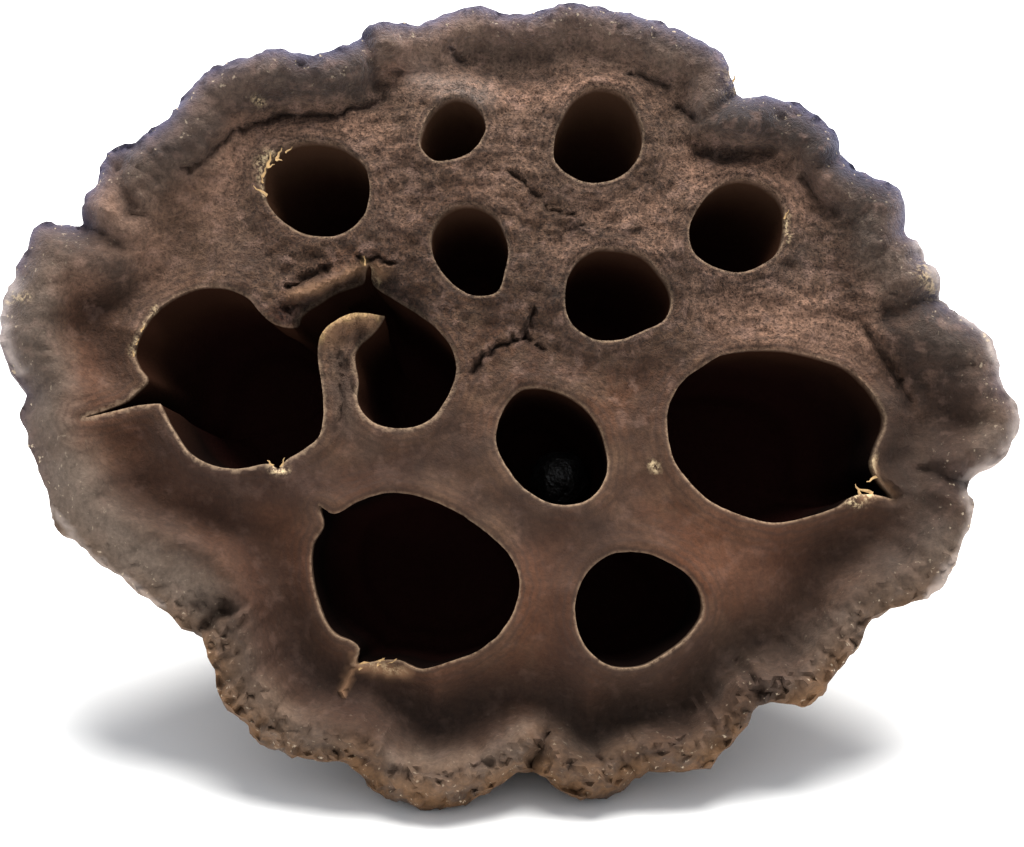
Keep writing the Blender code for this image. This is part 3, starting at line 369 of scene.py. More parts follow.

# Looks laid over the skin, with softly fading sides: tones of the skin, and in some strokes
# painted light and shade. Each stroke: points, reach and strength
STAINS = {
    "torn": [
        ([(-14.7, 6.2), (-14.0, 7.0), (-12.6, 7.6), (-11.6, 7.4)], 0.9, 0.8),
        ([(-17.6, 9.5), (-15.0, 10.4), (-12.8, 11.4), (-10.6, 11.6)], 0.55, 0.9),
        ([(-12.3, -20.5), (-10.4, -20.9), (-8.3, -21.1)], 0.5, 1.0),
        ([(-12.2, -19.8), (-13.0, -21.6), (-13.3, -22.7)], 0.2, 1.0),
        ([(29.0, -4.3), (29.4, -5.8), (30.4, -7.1), (28.0, -7.2)], 0.3, 0.8),
    ],
    "gold": [
        ([(-19.9, 21.5), (-20.6, 20.8), (-20.5, 19.6)], 0.35, 1.0),
        ([(-20.4, 19.0), (-20.1, 18.0)], 0.3, 0.9),
        ([(-30.6, 4.6), (-29.9, 6.4), (-28.6, 8.4)], 0.22, 0.9),
        ([(26.8, -7.4), (29.0, -7.0)], 0.35, 1.0), ([(28.9, -4.0), (29.0, -5.2)], 0.25, 0.8),
        ([(-40.8, 9.0), (-39.4, 9.4)], 0.3, 0.9), ([(33.4, 11.6), (34.2, 9.8)], 0.5, 0.5),
        ([(17.8, 28.2), (18.2, 27.2)], 0.5, 0.8), ([(22.3, 14.4), (22.4, 16.4)], 0.2, 0.9),
        ([(-21.0, 25.9), (-20.6, 25.8)], 0.3, 0.8), ([(-19.0, -4.6), (-18.4, -4.9)], 0.3, 0.9),
        ([(11.4, -4.6), (11.8, -4.8)], 0.3, 1.0), ([(-11.2, 11.4), (-11.0, 10.6)], 0.25, 0.6),
        ([(-11.0, -20.6), (-9.0, -20.8)], 0.3, 0.5),
    ],
    "spongy": [
        ([(-18.8, 8.0), (-17.0, 9.0), (-14.6, 10.2), (-12.4, 11.2)], 0.9, 1.0),
    ],
    "grey": [
        ([(-35.3, -6.4), (-32.4, -9.8), (-26.4, -12.8), (-23.4, -14.6)], 1.0, 0.6),
        ([(-13.8, 4.4), (-13.5, 0.0), (-11.5, -3.4)], 1.1, 0.35),
        ([(15.0, 9.4), (22.5, 10.2), (24.4, 14.0)], 1.4, 0.3),
        ([(20.0, -22.5), (28.0, -16.6), (34.0, -11.5)], 1.6, 0.35),
        ([(-40.0, 9.9), (-38.8, 4.9), (-37.5, -0.8), (-36.3, -5.8), (-33.1, -11.5),
          (-28.3, -15.6), (-25.9, -17.3)], 2.6, 0.45),
        ([(-36.0, -5.0), (-30.5, -12.0), (-24.5, -15.5)], 2.0, 0.9),
        ([(-22.8, -15.5), (-21.6, -18.0), (-20.3, -23.0), (-14.6, -27.1)], 1.6, 0.4),
        ([(33.6, -7.4), (36.0, -3.3), (38.0, 0.8)], 2.0, 0.1),
        ([(-9.0, -28.0), (0.0, -27.8)], 1.4, 0.4),
        ([(26.0, -18.5), (33.0, -12.0)], 1.6, 0.3),
    ],
    # Warm strokes: reddish-brown patches of the skin, and painted highlight on lit bands below the
    # top rim
    "warm_and_highlight": [
        ([(-22.5, 23.6), (-16.0, 24.2), (-11.5, 23.6)], 1.6, 0.9),
        ([(-24.6, 17.0), (-22.4, 21.5)], 1.8, 0.7), ([(-34.5, 11.0), (-31.5, 17.0)], 2.0, 0.5),
        ([(-9.8, 28.8), (-5.0, 31.2), (0.6, 31.0), (7.1, 29.6), (12.5, 26.8)], 2.4, 0.25),
        ([(-32.5, 17.5), (-28.6, 10.8)], 2.0, 0.6),
        ([(-21.9, 23.0), (-14.6, 23.4)], 2.5, 0.5), ([(-22.7, 13.2), (-14.6, 10.7)], 3.0, 0.15),
        ([(7.1, 16.4), (11.9, 16.0)], 2.0, 0.6),
        ([(15.1, 19.9), (20.0, 20.0), (24.0, 17.6)], 2.3, 1.0),
        ([(18.3, 9.0), (27.2, 6.6)], 3.4, 0.9), ([(-2.0, 18.0), (2.0, 27.0)], 3.0, 0.4),
        ([(-10.5, 28.0), (-4.0, 28.6), (3.0, 28.2)], 2.0, 0.2),
        ([(-9.8, 28.2), (-5.5, 27.3), (-1.0, 26.3), (3.5, 26.4), (8.0, 27.4)], 1.3, 1.0),
        ([(-9.5, 21.5), (-9.5, 16.5)], 1.8, 0.6), ([(4.5, 13.0), (12.0, 13.6)], 1.8, 0.6),
    ],
    "orange": [
        ([(15.1, -12.3), (22.4, -12.3)], 5.0, 0.7), ([(2.3, -12.3), (3.9, -20.6)], 2.5, 0.6),
        ([(-27.5, -5.0), (-21.5, -11.5), (-18.6, -19.0)], 2.2, 0.6),
        ([(-19.5, -8.0), (-16.8, -14.6)], 2.6, 0.7), ([(-33.9, 9.0), (-33.9, -0.8)], 2.0, 0.6),
        ([(-32.5, -0.8), (-27.3, -6.5)], 2.2, 0.5), ([(-16.0, -22.0), (4.0, -22.5)], 2.5, 0.5),
        ([(-18.8, 7.4), (-17.6, 7.1)], 0.6, 0.9), ([(-12.0, -20.7), (-10.2, -20.8)], 0.5, 1.0),
    ],
    # Painted highlight: light lines along the rim's edges where light grazes them, and on one lit
    # bump below the top rim
    "painted_highlight": [
        ([(-7.8, 27.9), (-5.2, 27.0), (-2.6, 26.2)], 1.1, 0.22),
        ([(-39.8, 3.4), (-41.0, 5.4), (-41.2, 8.2), (-40.4, 11.0)], 0.45, 0.5),
        ([(33.0, 13.8), (34.6, 11.2), (34.8, 9.6), (38.4, 6.2), (39.4, 3.4), (40.7, -0.4),
          (40.4, -2.4), (39.0, -4.2), (36.6, -5.8), (36.9, -8.6), (35.1, -12.7),
          (33.2, -15.0)], 0.42, 0.5),
        ([(-37.2, -8.0), (-34.2, -11.4), (-28.0, -16.0)], 0.3, 0.35),
    ],
    "cream": [
        ([(-15.7, 5.8), (-15.15, 6.75), (-14.3, 7.45), (-13.1, 8.0), (-11.8, 8.05),
          (-10.8, 7.85)], 0.3, 1.0),
        ([(-11.95, 12.0), (-11.9, 12.7)], 0.16, 1.0),
    ],
    # Dark strokes are darker skin in places and painted shade in others: above the folds, in the
    # troughs and beside the torn opening
    "dark": [
        ([(-18.0, 28.4), (-12.5, 29.2)], 2.2, 0.7),
        ([(-1.4, 28.6), (0.8, 28.2), (2.2, 28.5)], 1.0, 0.25),
        ([(-3.0, 30.4), (1.0, 30.8), (6.0, 30.6)], 1.6, 0.3),
        ([(-31.5, 15.0), (-29.0, 21.0), (-25.0, 23.8)], 2.2, 0.4),
        ([(-24.6, 24.4), (-19.6, 26.6), (-15.4, 28.2)], 2.0, 0.5),
        ([(26.0, 19.4), (27.4, 17.2), (29.6, 14.4)], 1.6, 0.55),
        ([(16.8, 21.8), (18.6, 23.2)], 1.4, 0.5), ([(-38.6, 7.4), (-37.6, 2.0)], 1.6, 0.35),
        ([(16.0, 10.3), (20.5, 10.5), (23.6, 13.0)], 1.1, 0.4),
        ([(26.4, 11.0), (28.6, 8.0)], 1.4, 0.3),
        ([(36.0, 5.6), (34.8, 1.0), (34.4, -3.4), (33.8, -9.0), (29.8, -12.6)], 2.4, 0.7),
        ([(-32.4, -6.6), (-29.2, -8.8), (-26.0, -10.6)], 1.5, 0.45),
        ([(-14.6, -25.2), (-9.0, -26.2)], 1.6, 0.35), ([(5.0, -27.0), (14.0, -25.6)], 2.0, 0.45),
        ([(-26.0, 18.0), (-22.0, 14.0)], 3.0, 0.2), ([(17.0, -19.5), (26.0, -14.5)], 3.0, 0.3),
        ([(-14.0, -25.0), (-2.0, -25.4)], 2.0, 0.45),
        ([(-29.0, 21.5), (-26.5, 22.0), (-22.5, 25.4), (-18.0, 26.8), (-12.5, 27.0)], 1.2, 0.75),
        ([(-35.2, 13.6), (-32.4, 11.6)], 1.8, 0.7), ([(-33.0, 11.0), (-33.6, 6.5)], 1.2, 0.4),
        ([(17.8, 24.8), (24.0, 23.3), (29.5, 18.2)], 2.2, 0.95),
        ([(9.0, 32.4), (15.5, 30.2)], 1.2, 0.5), ([(33.4, 7.4), (35.6, 2.5)], 2.4, 0.75),
        ([(30.6, 7.2), (32.4, 4.2), (33.2, 0.6)], 1.3, 0.8),
        ([(27.0, -1.0), (31.5, -3.5)], 2.5, 0.4),
        ([(-26.7, -3.0), (-22.7, -6.3), (-17.0, -5.2)], 2.5, 0.6),
        ([(-20.5, -18.0), (-16.0, -23.0), (-9.0, -26.0)], 1.8, 0.4),
        ([(5.0, -20.0), (4.5, -23.0)], 2.0, 0.5),
        ([(13.5, -26.0), (19.5, -22.0), (26.0, -16.2), (30.4, -11.2)], 2.2, 0.5),
        ([(2.0, 3.0), (6.0, 5.0)], 4.0, 0.4), ([(3.0, -9.0), (6.0, -11.0)], 3.0, 0.4),
        ([(-10.4, -5.0), (-4.0, -4.0)], 2.6, 0.4), ([(30.5, 1.0), (31.5, -6.0)], 2.4, 0.7),
        ([(-10.4, 15.6), (-9.0, 20.0)], 2.0, 0.3),
        ([(-13.8, 4.0), (-13.6, -2.0)], 1.2, 0.35), ([(-13.0, 9.6), (-10.2, 11.0)], 0.8, 0.6),
    ],
    # Umber strokes: a dark reddish brown, standing mostly for painted shade under the torn crest,
    # below the flap and in the lower troughs
    "umber_and_shade": [
        ([(-32.0, 4.5), (-30.5, 1.5)], 1.6, 0.4), ([(-17.5, -20.0), (-12.5, -23.6)], 2.2, 1.0),
        ([(-16.9, 7.8), (-15.4, 8.9), (-13.6, 9.9), (-12.2, 10.5)], 0.7, 1.0),
        ([(-11.0, 10.8), (-9.6, 9.6), (-7.8, 8.4)], 1.2, 0.9),
        ([(-10.4, 7.4), (-11.0, 6.5), (-12.2, 5.3)], 0.5, 1.0),
        ([(-29.5, -5.5), (-24.0, -8.0), (-20.3, -12.5), (-18.0, -19.0)], 3.0, 0.8),
        ([(-18.5, -20.0), (-14.0, -23.6), (-8.0, -25.4), (-2.0, -25.5)], 2.2, 0.75),
        ([(-29.0, -2.0), (-20.0, -6.2), (-10.0, -5.2)], 2.6, 0.7),
        ([(3.0, -20.5), (8.0, -22.6), (15.0, -20.5)], 2.2, 0.6),
        ([(4.0, -10.0), (12.0, -9.6)], 2.4, 0.5), ([(-6.0, -1.5), (-3.0, -5.5)], 2.0, 0.5),
        ([(20.0, -12.0), (27.0, -10.0), (30.0, -8.5)], 2.6, 0.35),
        ([(10.5, 4.0), (11.5, -5.0)], 2.0, 0.4), ([(-7.0, -3.0), (0.5, -8.0)], 1.8, 0.5),
        ([(-21.0, -17.0), (-15.5, -24.5), (-9.0, -26.6)], 1.6, 0.5),
        ([(4.5, -12.5), (4.0, -20.5)], 2.6, 0.6),
        ([(36.0, 0.5), (35.0, -6.5)], 2.4, 0.5), ([(12.0, -26.0), (22.0, -20.6)], 1.8, 0.5),
    ],
}

# Everything that the skin's material reads at a point
SKIN_LAYERS = ("down", "painted_hollow_shade", "collar", "lip_tint_and_highlight", "rim", "grain", "near", "inner_wall_and_shade", *STAINS)

# Loose shreds at the torn edges: root on the face, heading from the right, length and width
SHREDS = [
    (-20.3, 19.4, 70, 0.9, 0.3), (-20.0, 20.2, 20, 0.7, 0.25), (-19.9, 20.3, 75, 1.1, 0.35),
    (-19.3, 20.9, -10, 0.6, 0.25), (-19.2, 21.0, 60, 0.9, 0.3), (-18.5, 21.5, 30, 0.7, 0.2),
    (-20.3, 18.9, 100, 0.6, 0.2), (-19.9, 17.9, 152, 1.3, 0.3), (28.9, -6.8, 165, 1.5, 0.4),
    (27.9, -6.9, 120, 0.9, 0.3), (29.2, -5.4, 215, 1.0, 0.3), (-12.2, -20.8, 12, 2.2, 0.6),
    (-10.7, -20.5, 5, 1.6, 0.45), (-19.2, -4.6, 130, 0.6, 0.3), (-18.5, -4.7, 70, 0.8, 0.25),
    (-30.4, 5.4, 60, 0.6, 0.25), (-30.0, 6.5, 50, 0.6, 0.25), (-30.5, 4.4, 95, 0.5, 0.2),
    (22.1, 15.9, 60, 0.8, 0.2), (18.1, 27.5, 70, 0.6, 0.3), (-11.9, 12.0, 95, 0.8, 0.2),
]
SHRED_THICKNESS = 0.09
SHRED_RISE = 0.4
SHRED_ROOT_DEPTH = 0.05
SHRED_CREAM = 0.9

# The seed in the middle pit, in face coordinates
SEED_MIDDLE = (3.9, -4.4, -7.6)
SEED_HALF = (2.5, 2.5, 3.6)
SEED_RIDGES = 5
SEED_WRINKLE = 0.05
SEED_TAPER = 0.06

# How the natural unevenness fades and shrinks from one octave to the next
OCTAVE_FADE = 0.7
OCTAVE_SHRINK = 2.1

# Broken edges: waves, and depth at the rim, at the pits and at the torn opening
EDGE_WAVE = 1.6
RIM_ROUGHNESS = 0.33
PIT_ROUGHNESS = 0.05
TORN_ROUGHNESS = 0.04
SMOOTH_ANGLE = 50.0

# Patterns of the materials: size in millimetres, detail and, for the pod, roughness
POD_PATTERNS = {
    "patches": (9.0, 3.0, 0.6), "blotches": (2.6, 4.0, 0.65), "specks": (0.45, 4.0, 0.7),
    "fibres": (0.2, 2.0, 0.6), "clouds": (4.0, 3.0, 0.6), "streaks": (1.5, 4.0, 0.65),
    "mottle": (1.5, 3.0, 0.6), "waver": (2.2, 2.0, 0.6), "glints": (0.5, 2.0, 0.6),
}
SEED_PATTERNS = ((1.4, 4.0), (0.3, 2.0))
# The streaks of the flank are drawn out by this much
FIBRE_STRETCH = 7
WRINKLE_GAP = 0.62

# Camera: degrees above the level, how far below the face's middle it aims, width of one
# point of the picture at the face, and points across the picture
CAMERA_LOW = 24.0
CAMERA_AIM_DROP = 1.085
PIXEL_MM = 0.0804
PICTURE_WIDTH = 1024
SENSOR_MM = 36.0

# Table and light, in metres and watts
TABLE_SIZE = 6.0
TABLE_DROP = 0.00005
TENT_COLOUR = (0.90, 0.945, 1.0, 1.0)
TENT_STRENGTH = 0.72
SOFTBOX_PLACE = (0.06, 0.11, 0.62)
SOFTBOX_SIZE = 0.52
SOFTBOX_POWER = 11.0
SOFTBOX_COLOUR = (1.0, 0.985, 0.95)


def curve_through(points, step):
    """A closed curve through the points, with every point kept."""
    knots = np.array(points, float)
    ahead = np.roll(knots, -1, axis=0)
    back = np.roll(knots, 1, axis=0)
    gap = np.linalg.norm(ahead - knots, axis=1)
    gap_back = np.roll(gap, 1)
    slope = (ahead - back) / (gap + gap_back)[:, None]
    places = []
    for i in range(len(knots)):
        j = (i + 1) % len(knots)
        count = max(1, round(gap[i] / step))
        for k in range(count):
            t = k / count
            places.append(knots[i] * (2 * t**3 - 3 * t**2 + 1)
                          + slope[i] * gap[i] * (t**3 - 2 * t**2 + t)
                          + knots[j] * (3 * t**2 - 2 * t**3)
                          + slope[j] * gap[i] * (t**3 - t**2))
    return np.array(places)


def pit_outline(middle, radii, step):
    """A closed curve through points at even angles round the middle."""
    turns = np.arange(len(radii)) * TURN / len(radii)
    reach = np.array(radii)
    knots = np.column_stack([reach * np.cos(turns), reach * np.sin(turns)]) + middle
    return curve_through(knots, step)


def gap_to_line(places, line):
    """Shortest distance from each place to a run of straight pieces."""
    nearest = np.full(len(places), np.inf)
    for start, end in zip(line[:-1], line[1:]):
        along = end - start
        share = np.clip((places - start) @ along / (along @ along), 0, 1)
        apart = places - start - share[:, None] * along
        nearest = np.minimum(nearest, apart[:, 0] ** 2 + apart[:, 1] ** 2)
    return np.sqrt(nearest)


def closed(line):
    """The outline with its first point again at its end."""
    return np.vstack([line, line[:1]])


def inside(places, line):
    """True where a place lies within a closed outline."""
    x, y = places[:, 0], places[:, 1]
    within = np.zeros(len(places), bool)
    for (x0, y0), (x1, y1) in zip(line, np.roll(line, -1, axis=0)):
        crosses = (y0 > y) != (y1 > y)
        rise = y1 - y0 if y1 != y0 else 1e-9
        within ^= crosses & (x < (x1 - x0) * (y - y0) / rise + x0)
    return within


def ease(t):
    """Rises smoothly from 0 to 1 as t does, and stays there outside."""
    t = np.clip(t, 0, 1)
    return t * t * (3 - 2 * t)


def fractal(spots, size, octaves=3):
    """Natural unevenness of about -1 to 1, whose largest bumps are size apart. The same
    spots always give the same, and spots moved by a number give another pattern."""
    scale = 1.0 / size
    return np.array([noise.fractal(Vector(spot) * scale, OCTAVE_FADE, OCTAVE_SHRINK, octaves)
                     for spot in spots])


def bumps(spots, relief, octaves=3):
    """Natural unevenness of a given height and size."""
    height, size = relief
    return height * fractal(spots, size, octaves)


def on_face(places):
    """Places on the face as spots in space, at no height."""
    return np.column_stack([places, np.zeros(len(places))])


def round_coords(places, rim_gap):
    """Coordinates that follow the rim round, stretched from the rim inwards."""
    angle = np.arctan2(places[:, 1], places[:, 0])
    return np.column_stack([MEAN_RADIUS * np.cos(angle), MEAN_RADIUS * np.sin(angle),
                            rim_gap / FOLD_STRETCH])


def collar_height(places, rim_gap):
    """The collar's section with its crest and edges rounded."""
    return sum(share * collar_section(places, rim_gap + shift)
               for shift, share in COLLAR_ROUNDING)


def collar_section(places, rim_gap):
    """Rim edge, raised crest and trough, from the rim inwards."""
    angle = np.degrees(np.arctan2(places[:, 1], places[:, 0])) % 360
    table = np.array(COLLAR + [(360,) + COLLAR[0][1:]], float)
    crest_in, crest, trough_in, trough, edge = (
        np.interp(angle, table[:, 0], table[:, k]) for k in range(1, 6))
    low = np.clip(-places[:, 1] / np.linalg.norm(places, axis=1), -1, 1)
    sharp = BEND_SHARPNESS + SHARPER_BELOW * low
    below = np.clip(low, 0, 1) ** 2
    crest_in = crest_in * (1 - CREST_OUT_BELOW * below)
    trough_in = trough_in * (1 - TROUGH_OUT_BELOW * below)
    climb = np.clip(rim_gap / crest_in, 0, 1)
    fall = np.clip((rim_gap - crest_in) / (trough_in - crest_in), 0, 1)
    climb = sharp * climb ** CLIMB_POWER + (1 - sharp) * np.sin(climb * math.pi / 2)
    fall = sharp * np.sin(fall * math.pi / 2) + (1 - sharp) * ease(fall)
    up = edge + (crest - edge) * climb
    down = crest + (trough - crest) * fall
    back = trough * (1 - ease((rim_gap - trough_in) / TROUGH_BANK))
    return np.where(rim_gap < crest_in, up, np.where(rim_gap < trough_in, down, back))


def unsteady(places):
    """Small shifts that make drawn strokes ragged."""
    return RAGGED_SHIFT * np.column_stack([fractal(on_face(places) + off, RAGGED_WAVE)
                                           for off in (53.0, 61.0)])


def crack_spots():
    """Points along both sides and the bottom of each crack."""
    spots = []
    for points, half_width, _ in MARKS:
        if half_width > CRACK_WIDTH:
            continue
        for start, end in zip(np.array(points[:-1]), np.array(points[1:])):
            length = np.linalg.norm(end - start)
            along = (end - start) / length
            aside = np.array([-along[1], along[0]])
            for t in np.arange(0, length, CRACK_STEP):
                spots += [start + along * t + aside * off
                          for off in (0.0, -CRACK_STEP, CRACK_STEP)]
    spots = np.array(spots)
    return spots - unsteady(spots)


def fading(places, strokes):
    """Strength of the strokes at each place, where the strongest one counts."""
    share = np.zeros(len(places))
    for points, reach, strength in strokes:
        gap = gap_to_line(places, np.array(points))
        share = np.maximum(share, strength * np.exp(-(gap / reach) ** 2))
    return share


def measure_face(places, rim_line, pit_lines):
    """Height of the face and what its skin is like at each place."""
    rim_gap = gap_to_line(places, closed(rim_line))
    pit_gap = np.full(len(places), np.inf)
    pit_edge_light = np.zeros(len(places))
    radius = np.linalg.norm(places, axis=1)
    height = collar_height(places, rim_gap)
    # Painted shade in the collar's sunk trough, and below in narrow grooves
    painted_hollow_shade = np.clip((-height - SHADE_FROM) / SHADE_RANGE, 0, 1)
    height += DOME_HEIGHT * np.clip(1 - (radius / DOME_REACH) ** 2, 0, 1)
    swelling = ease(rim_gap / LIPLESS_RIM) * LIP_HEIGHT
    for line in pit_lines:
        gap = gap_to_line(places, closed(line))
        pit_gap = np.minimum(pit_gap, gap)
        height += swelling * np.exp(-(gap / LIP_WIDTH) ** 2)
        half = np.ptp(line[:, 1]) / 2
        upper = ease(0.5 + (places[:, 1] - line[:, 1].mean()) / (UPPER_BLEND * half))
        pit_edge_light = np.where(gap < LIGHT_REACH, 1 - DIM_ABOVE * upper, pit_edge_light)
        roll_width = ROLL_WIDTH * (ROLL_BELOW + (1 - ROLL_BELOW) * upper)
        rolled = np.clip(1 - gap / roll_width, 0, 1) ** 2
        height -= ROLL_DEPTH * (SHALLOW_BELOW + DEEPER_ABOVE * upper) * rolled
        height += HEM_HEIGHT * np.exp(-((gap - HEM_GAP) / HEM_GAP) ** 2)
    ragged = places + unsteady(places)
    for points, half_width, rise in MARKS:
        share = fading(ragged, [(points, half_width, 1.0)])
        height += rise * share
        if rise < 0 and half_width < BROAD_HOLLOW:
            painted_hollow_shade = np.maximum(painted_hollow_shade, HOLLOW_SHADE * share)
    u, v = places[:, 0], places[:, 1]
    swell = np.sin(0.55 * u + 0.31 * v + 1.0) * np.sin(0.43 * v - 0.22 * u)
    ripple = np.sin(1.15 * u - 0.6 * v) * np.sin(0.95 * v + 0.35 * u + 2.0)
    height += SWELL_HEIGHT * swell + RIPPLE_HEIGHT * ripple
    stains = {name: fading(ragged, strokes) for name, strokes in STAINS.items()}
    height += skin_texture(places, rim_gap, pit_gap)
    height += stains["spongy"] * bumps(on_face(places) + 29.0, SPONGY)
    return height, {"painted_hollow_shade": painted_hollow_shade, "collar": ease((COLLAR_END - rim_gap) / COLLAR_BLEND),
                    "lip_tint_and_highlight": pit_edge_light * np.exp(-(pit_gap / LIGHT_LINE) ** 2),
                    "rim": np.exp(-rim_gap / EDGE_REACH),
                    "grain": grain_share(places, rim_gap),
                    "near": np.minimum(pit_gap, NEAR_LIMIT), **stains}


def grain_share(places, rim_gap):
    """The upper part of the face is grainy. The rim and the left and lower parts are smooth."""
    u, v = places.T
    share = 1 - GRAIN_LEFT[2] * (1 - ease((u - GRAIN_LEFT[0]) / GRAIN_LEFT[1]))
    share = share * (1 - GRAIN_RIM[2] * ease((GRAIN_RIM[0] - rim_gap) / GRAIN_RIM[1]))
    share = share * ease((v - GRAIN_LOW[0]) / GRAIN_LOW[1])
    return 1 - GRAIN_LOW[2] * (1 - share)


def skin_texture(places, rim_gap, pit_gap):
    """Fine unevenness: papery skin, puckers round the pits, crumpled collar."""
    flat = on_face(places)
    wave = round_coords(places, rim_gap)
    collar = ease((COLLAR_REACH - rim_gap) / COLLAR_BLEND)
    upper = grain_share(places, rim_gap)
    low = ease((-places[:, 1] - BELOW_FROM) / BELOW_RANGE)

    rough = bumps(flat, PAPERY)
    rough += upper * bumps(flat + 31.0, GRAINY)
    rough += upper * bumps(flat * (0.75, 1.15, 1.0) + 83.0, PEBBLED, 2)
    rough += upper * bumps(flat + 97.0, SPECKLED, 1)
    rough += (1 + 4 * upper) * bumps(flat + 43.0, GRITTY, 2)

    height, wavelength, waver, reach = PUCKER
    pucker = np.sin(pit_gap * TURN / wavelength + waver * fractal(flat + 7.0, 2.4, 1))
    rough += height * pucker * np.exp(-(pit_gap / reach) ** 2)

    rough += collar * bumps(flat + 71.0, LUMPS)
    rough += collar * (np.abs(bumps(wave, FOLDS)) - FOLDS[0] / 4)
    rough += collar * (1 + low) * (np.abs(bumps(wave + 11.0, CREASES, 2)) - CREASES[0] / 4)
    rough += collar * low * bumps(wave * (2.2, 2.2, 1.0) + 67.0, PITTED_BELOW, 2)
    by_rim = np.exp(-(rim_gap / CRUMPLED_REACH) ** 2)
    rough += (1 + MORE_BELOW * low) * by_rim * np.abs(bumps(flat + 19.0, CRUMPLED, 2))
    return rough * np.clip(pit_gap / QUIET_EDGE + LEAST_RELIEF, 0, 1)


def raised(places, height):
    """Face places moved out along the line of sight."""
    low = math.radians(SIGHT_LOW)
    eye = np.array([0.0, -SIGHT_FAR * math.sin(low), SIGHT_FAR * math.cos(low)])
    flat = on_face(places)
    return flat + (eye - flat) * (np.asarray(height) / eye[2])[:, None]


def lay_down(spots):
    """Face coordinates to the lying pod in metres, kept on or above the table."""
    tilt = math.radians(FACE_TILT)
    u, v, w = np.asarray(spots, float).T
    x = u + FACE_MIDDLE[0]
    y = v * math.sin(tilt) - w * math.cos(tilt) + FACE_MIDDLE[1]
    z = v * math.cos(tilt) + w * math.sin(tilt) + FACE_MIDDLE[2]
    return np.column_stack([x, y, np.maximum(z, 0.0)]) * MM


def softened(ring, sigma):
    """The ring with its corners rounded over a length of sigma."""
    if sigma < LEAST_ROUNDING:
        return ring.copy()
    loop = closed(ring)
    length = np.concatenate([[0], np.cumsum(np.linalg.norm(np.diff(loop, axis=0), axis=1))])
    count = max(LEAST_STEPS, int(length[-1] / ROUNDING_STEP))
    even = np.linspace(0, length[-1], count, endpoint=False)
    dense = np.column_stack([np.interp(even, length, loop[:, k]) for k in range(loop.shape[1])])
    wave = np.fft.fftfreq(count, length[-1] / count)
    fade = np.exp(-2 * (math.pi * wave * sigma) ** 2)[:, None]
    smooth = np.real(np.fft.ifft(np.fft.fft(dense, axis=0) * fade, axis=0))
    smooth = np.vstack([smooth, smooth[:1]])
    ticks = np.append(even, length[-1])
    return np.column_stack([np.interp(length[:-1], ticks, smooth[:, k])
                            for k in range(loop.shape[1])])


def smooth_table(at, table):
    """Each column of a table read at a value of its first, along smooth curves."""
    table = np.array(table, float)
    x = table[:, 0]
    i = int(np.clip(np.searchsorted(x, at, side="right") - 1, 0, len(x) - 2))
    slopes = np.gradient(table, x, axis=0)
    width = x[i + 1] - x[i]
    t = (at - x[i]) / width
    row = ((2 * t**3 - 3 * t**2 + 1) * table[i] + (t**3 - 2 * t**2 + t) * width * slopes[i]
           + (3 * t**2 - 2 * t**3) * table[i + 1] + (t**3 - t**2) * width * slopes[i + 1])
    return row[1:]


def sheet_piece(name, spots, faces):
    """A piece made straight from its points and faces."""
    data = bpy.data.meshes.new(name)
    data.from_pydata([tuple(spot) for spot in spots], [], faces)
    piece = bpy.data.objects.new(name, data)
    bpy.context.scene.collection.objects.link(piece)
    return piece


def set_skin(piece, depths, values):
    """Point attributes that the material reads: how deep a point lies and what its skin is."""
    blank = np.zeros(len(depths))
    values = {"down": depths, **values}
    attributes = piece.data.attributes
    for name in SKIN_LAYERS:
        layer = attributes.get(name) or attributes.new(name, "FLOAT", "POINT")
        layer.data.foreach_set("value", np.asarray(values.get(name, blank), np.float32))


def select_only(pieces):
    """Selects the pieces and nothing else, with the first one active."""
    bpy.ops.object.select_all(action="DESELECT")
    for piece in pieces:
        piece.select_set(True)
    bpy.context.view_layer.objects.active = pieces[0]


def pull_wall(name, rings, downs, closing, skin, fade):
    """A wall extruded ring by ring from a circle that is shaped to the first ring. The skin
    values of that ring are carried down and die out over the fade."""
    bpy.ops.object.select_all(action="DESELECT")
    bpy.ops.mesh.primitive_circle_add(vertices=len(rings[0]), radius=1.0)
    wall = bpy.context.object
    wall.name = name
    wall.data.attributes.new("order", "INT", "POINT")
    wall.data.attributes.new("down", "FLOAT", "POINT")
    bpy.ops.object.mode_set(mode="EDIT")
    work = bmesh.from_edit_mesh(wall.data)
    order = work.verts.layers.int["order"]
    down = work.verts.layers.float["down"]
    for number, vert in enumerate(work.verts):
        vert[order] = number
        vert[down] = downs[0]
        vert.co = rings[0][number]
    bpy.ops.mesh.select_all(action="SELECT")
    for ring, depth in zip(rings[1:], downs[1:]):
        bpy.ops.mesh.extrude_region_move()
        work = bmesh.from_edit_mesh(wall.data)
        order = work.verts.layers.int["order"]
        down = work.verts.layers.float["down"]
        for vert in work.verts:
            if vert.select:
                vert.co = ring[vert[order]]
                vert[down] = depth
    if closing:
        bpy.ops.mesh.edge_face_add()
        bpy.ops.mesh.poke()
    bmesh.update_edit_mesh(wall.data)
    bpy.ops.object.mode_set(mode="OBJECT")
    places = np.empty(len(wall.data.vertices), np.int32)
    wall.data.attributes["order"].data.foreach_get("value", places)
    depths = np.empty(len(places), np.float32)
    wall.data.attributes["down"].data.foreach_get("value", depths)
    left = np.exp(-depths / fade)
    values = {layer: shares[places] * left for layer, shares in skin.items()}
    if name != "flank":
        # The pit's lining of dark tissue and painted shade comes in just below its edge
        values["inner_wall_and_shade"] = np.clip((depths - LINING_FROM) / LINING_BLEND, 0, 1)
    set_skin(wall, depths, values)
    return wall


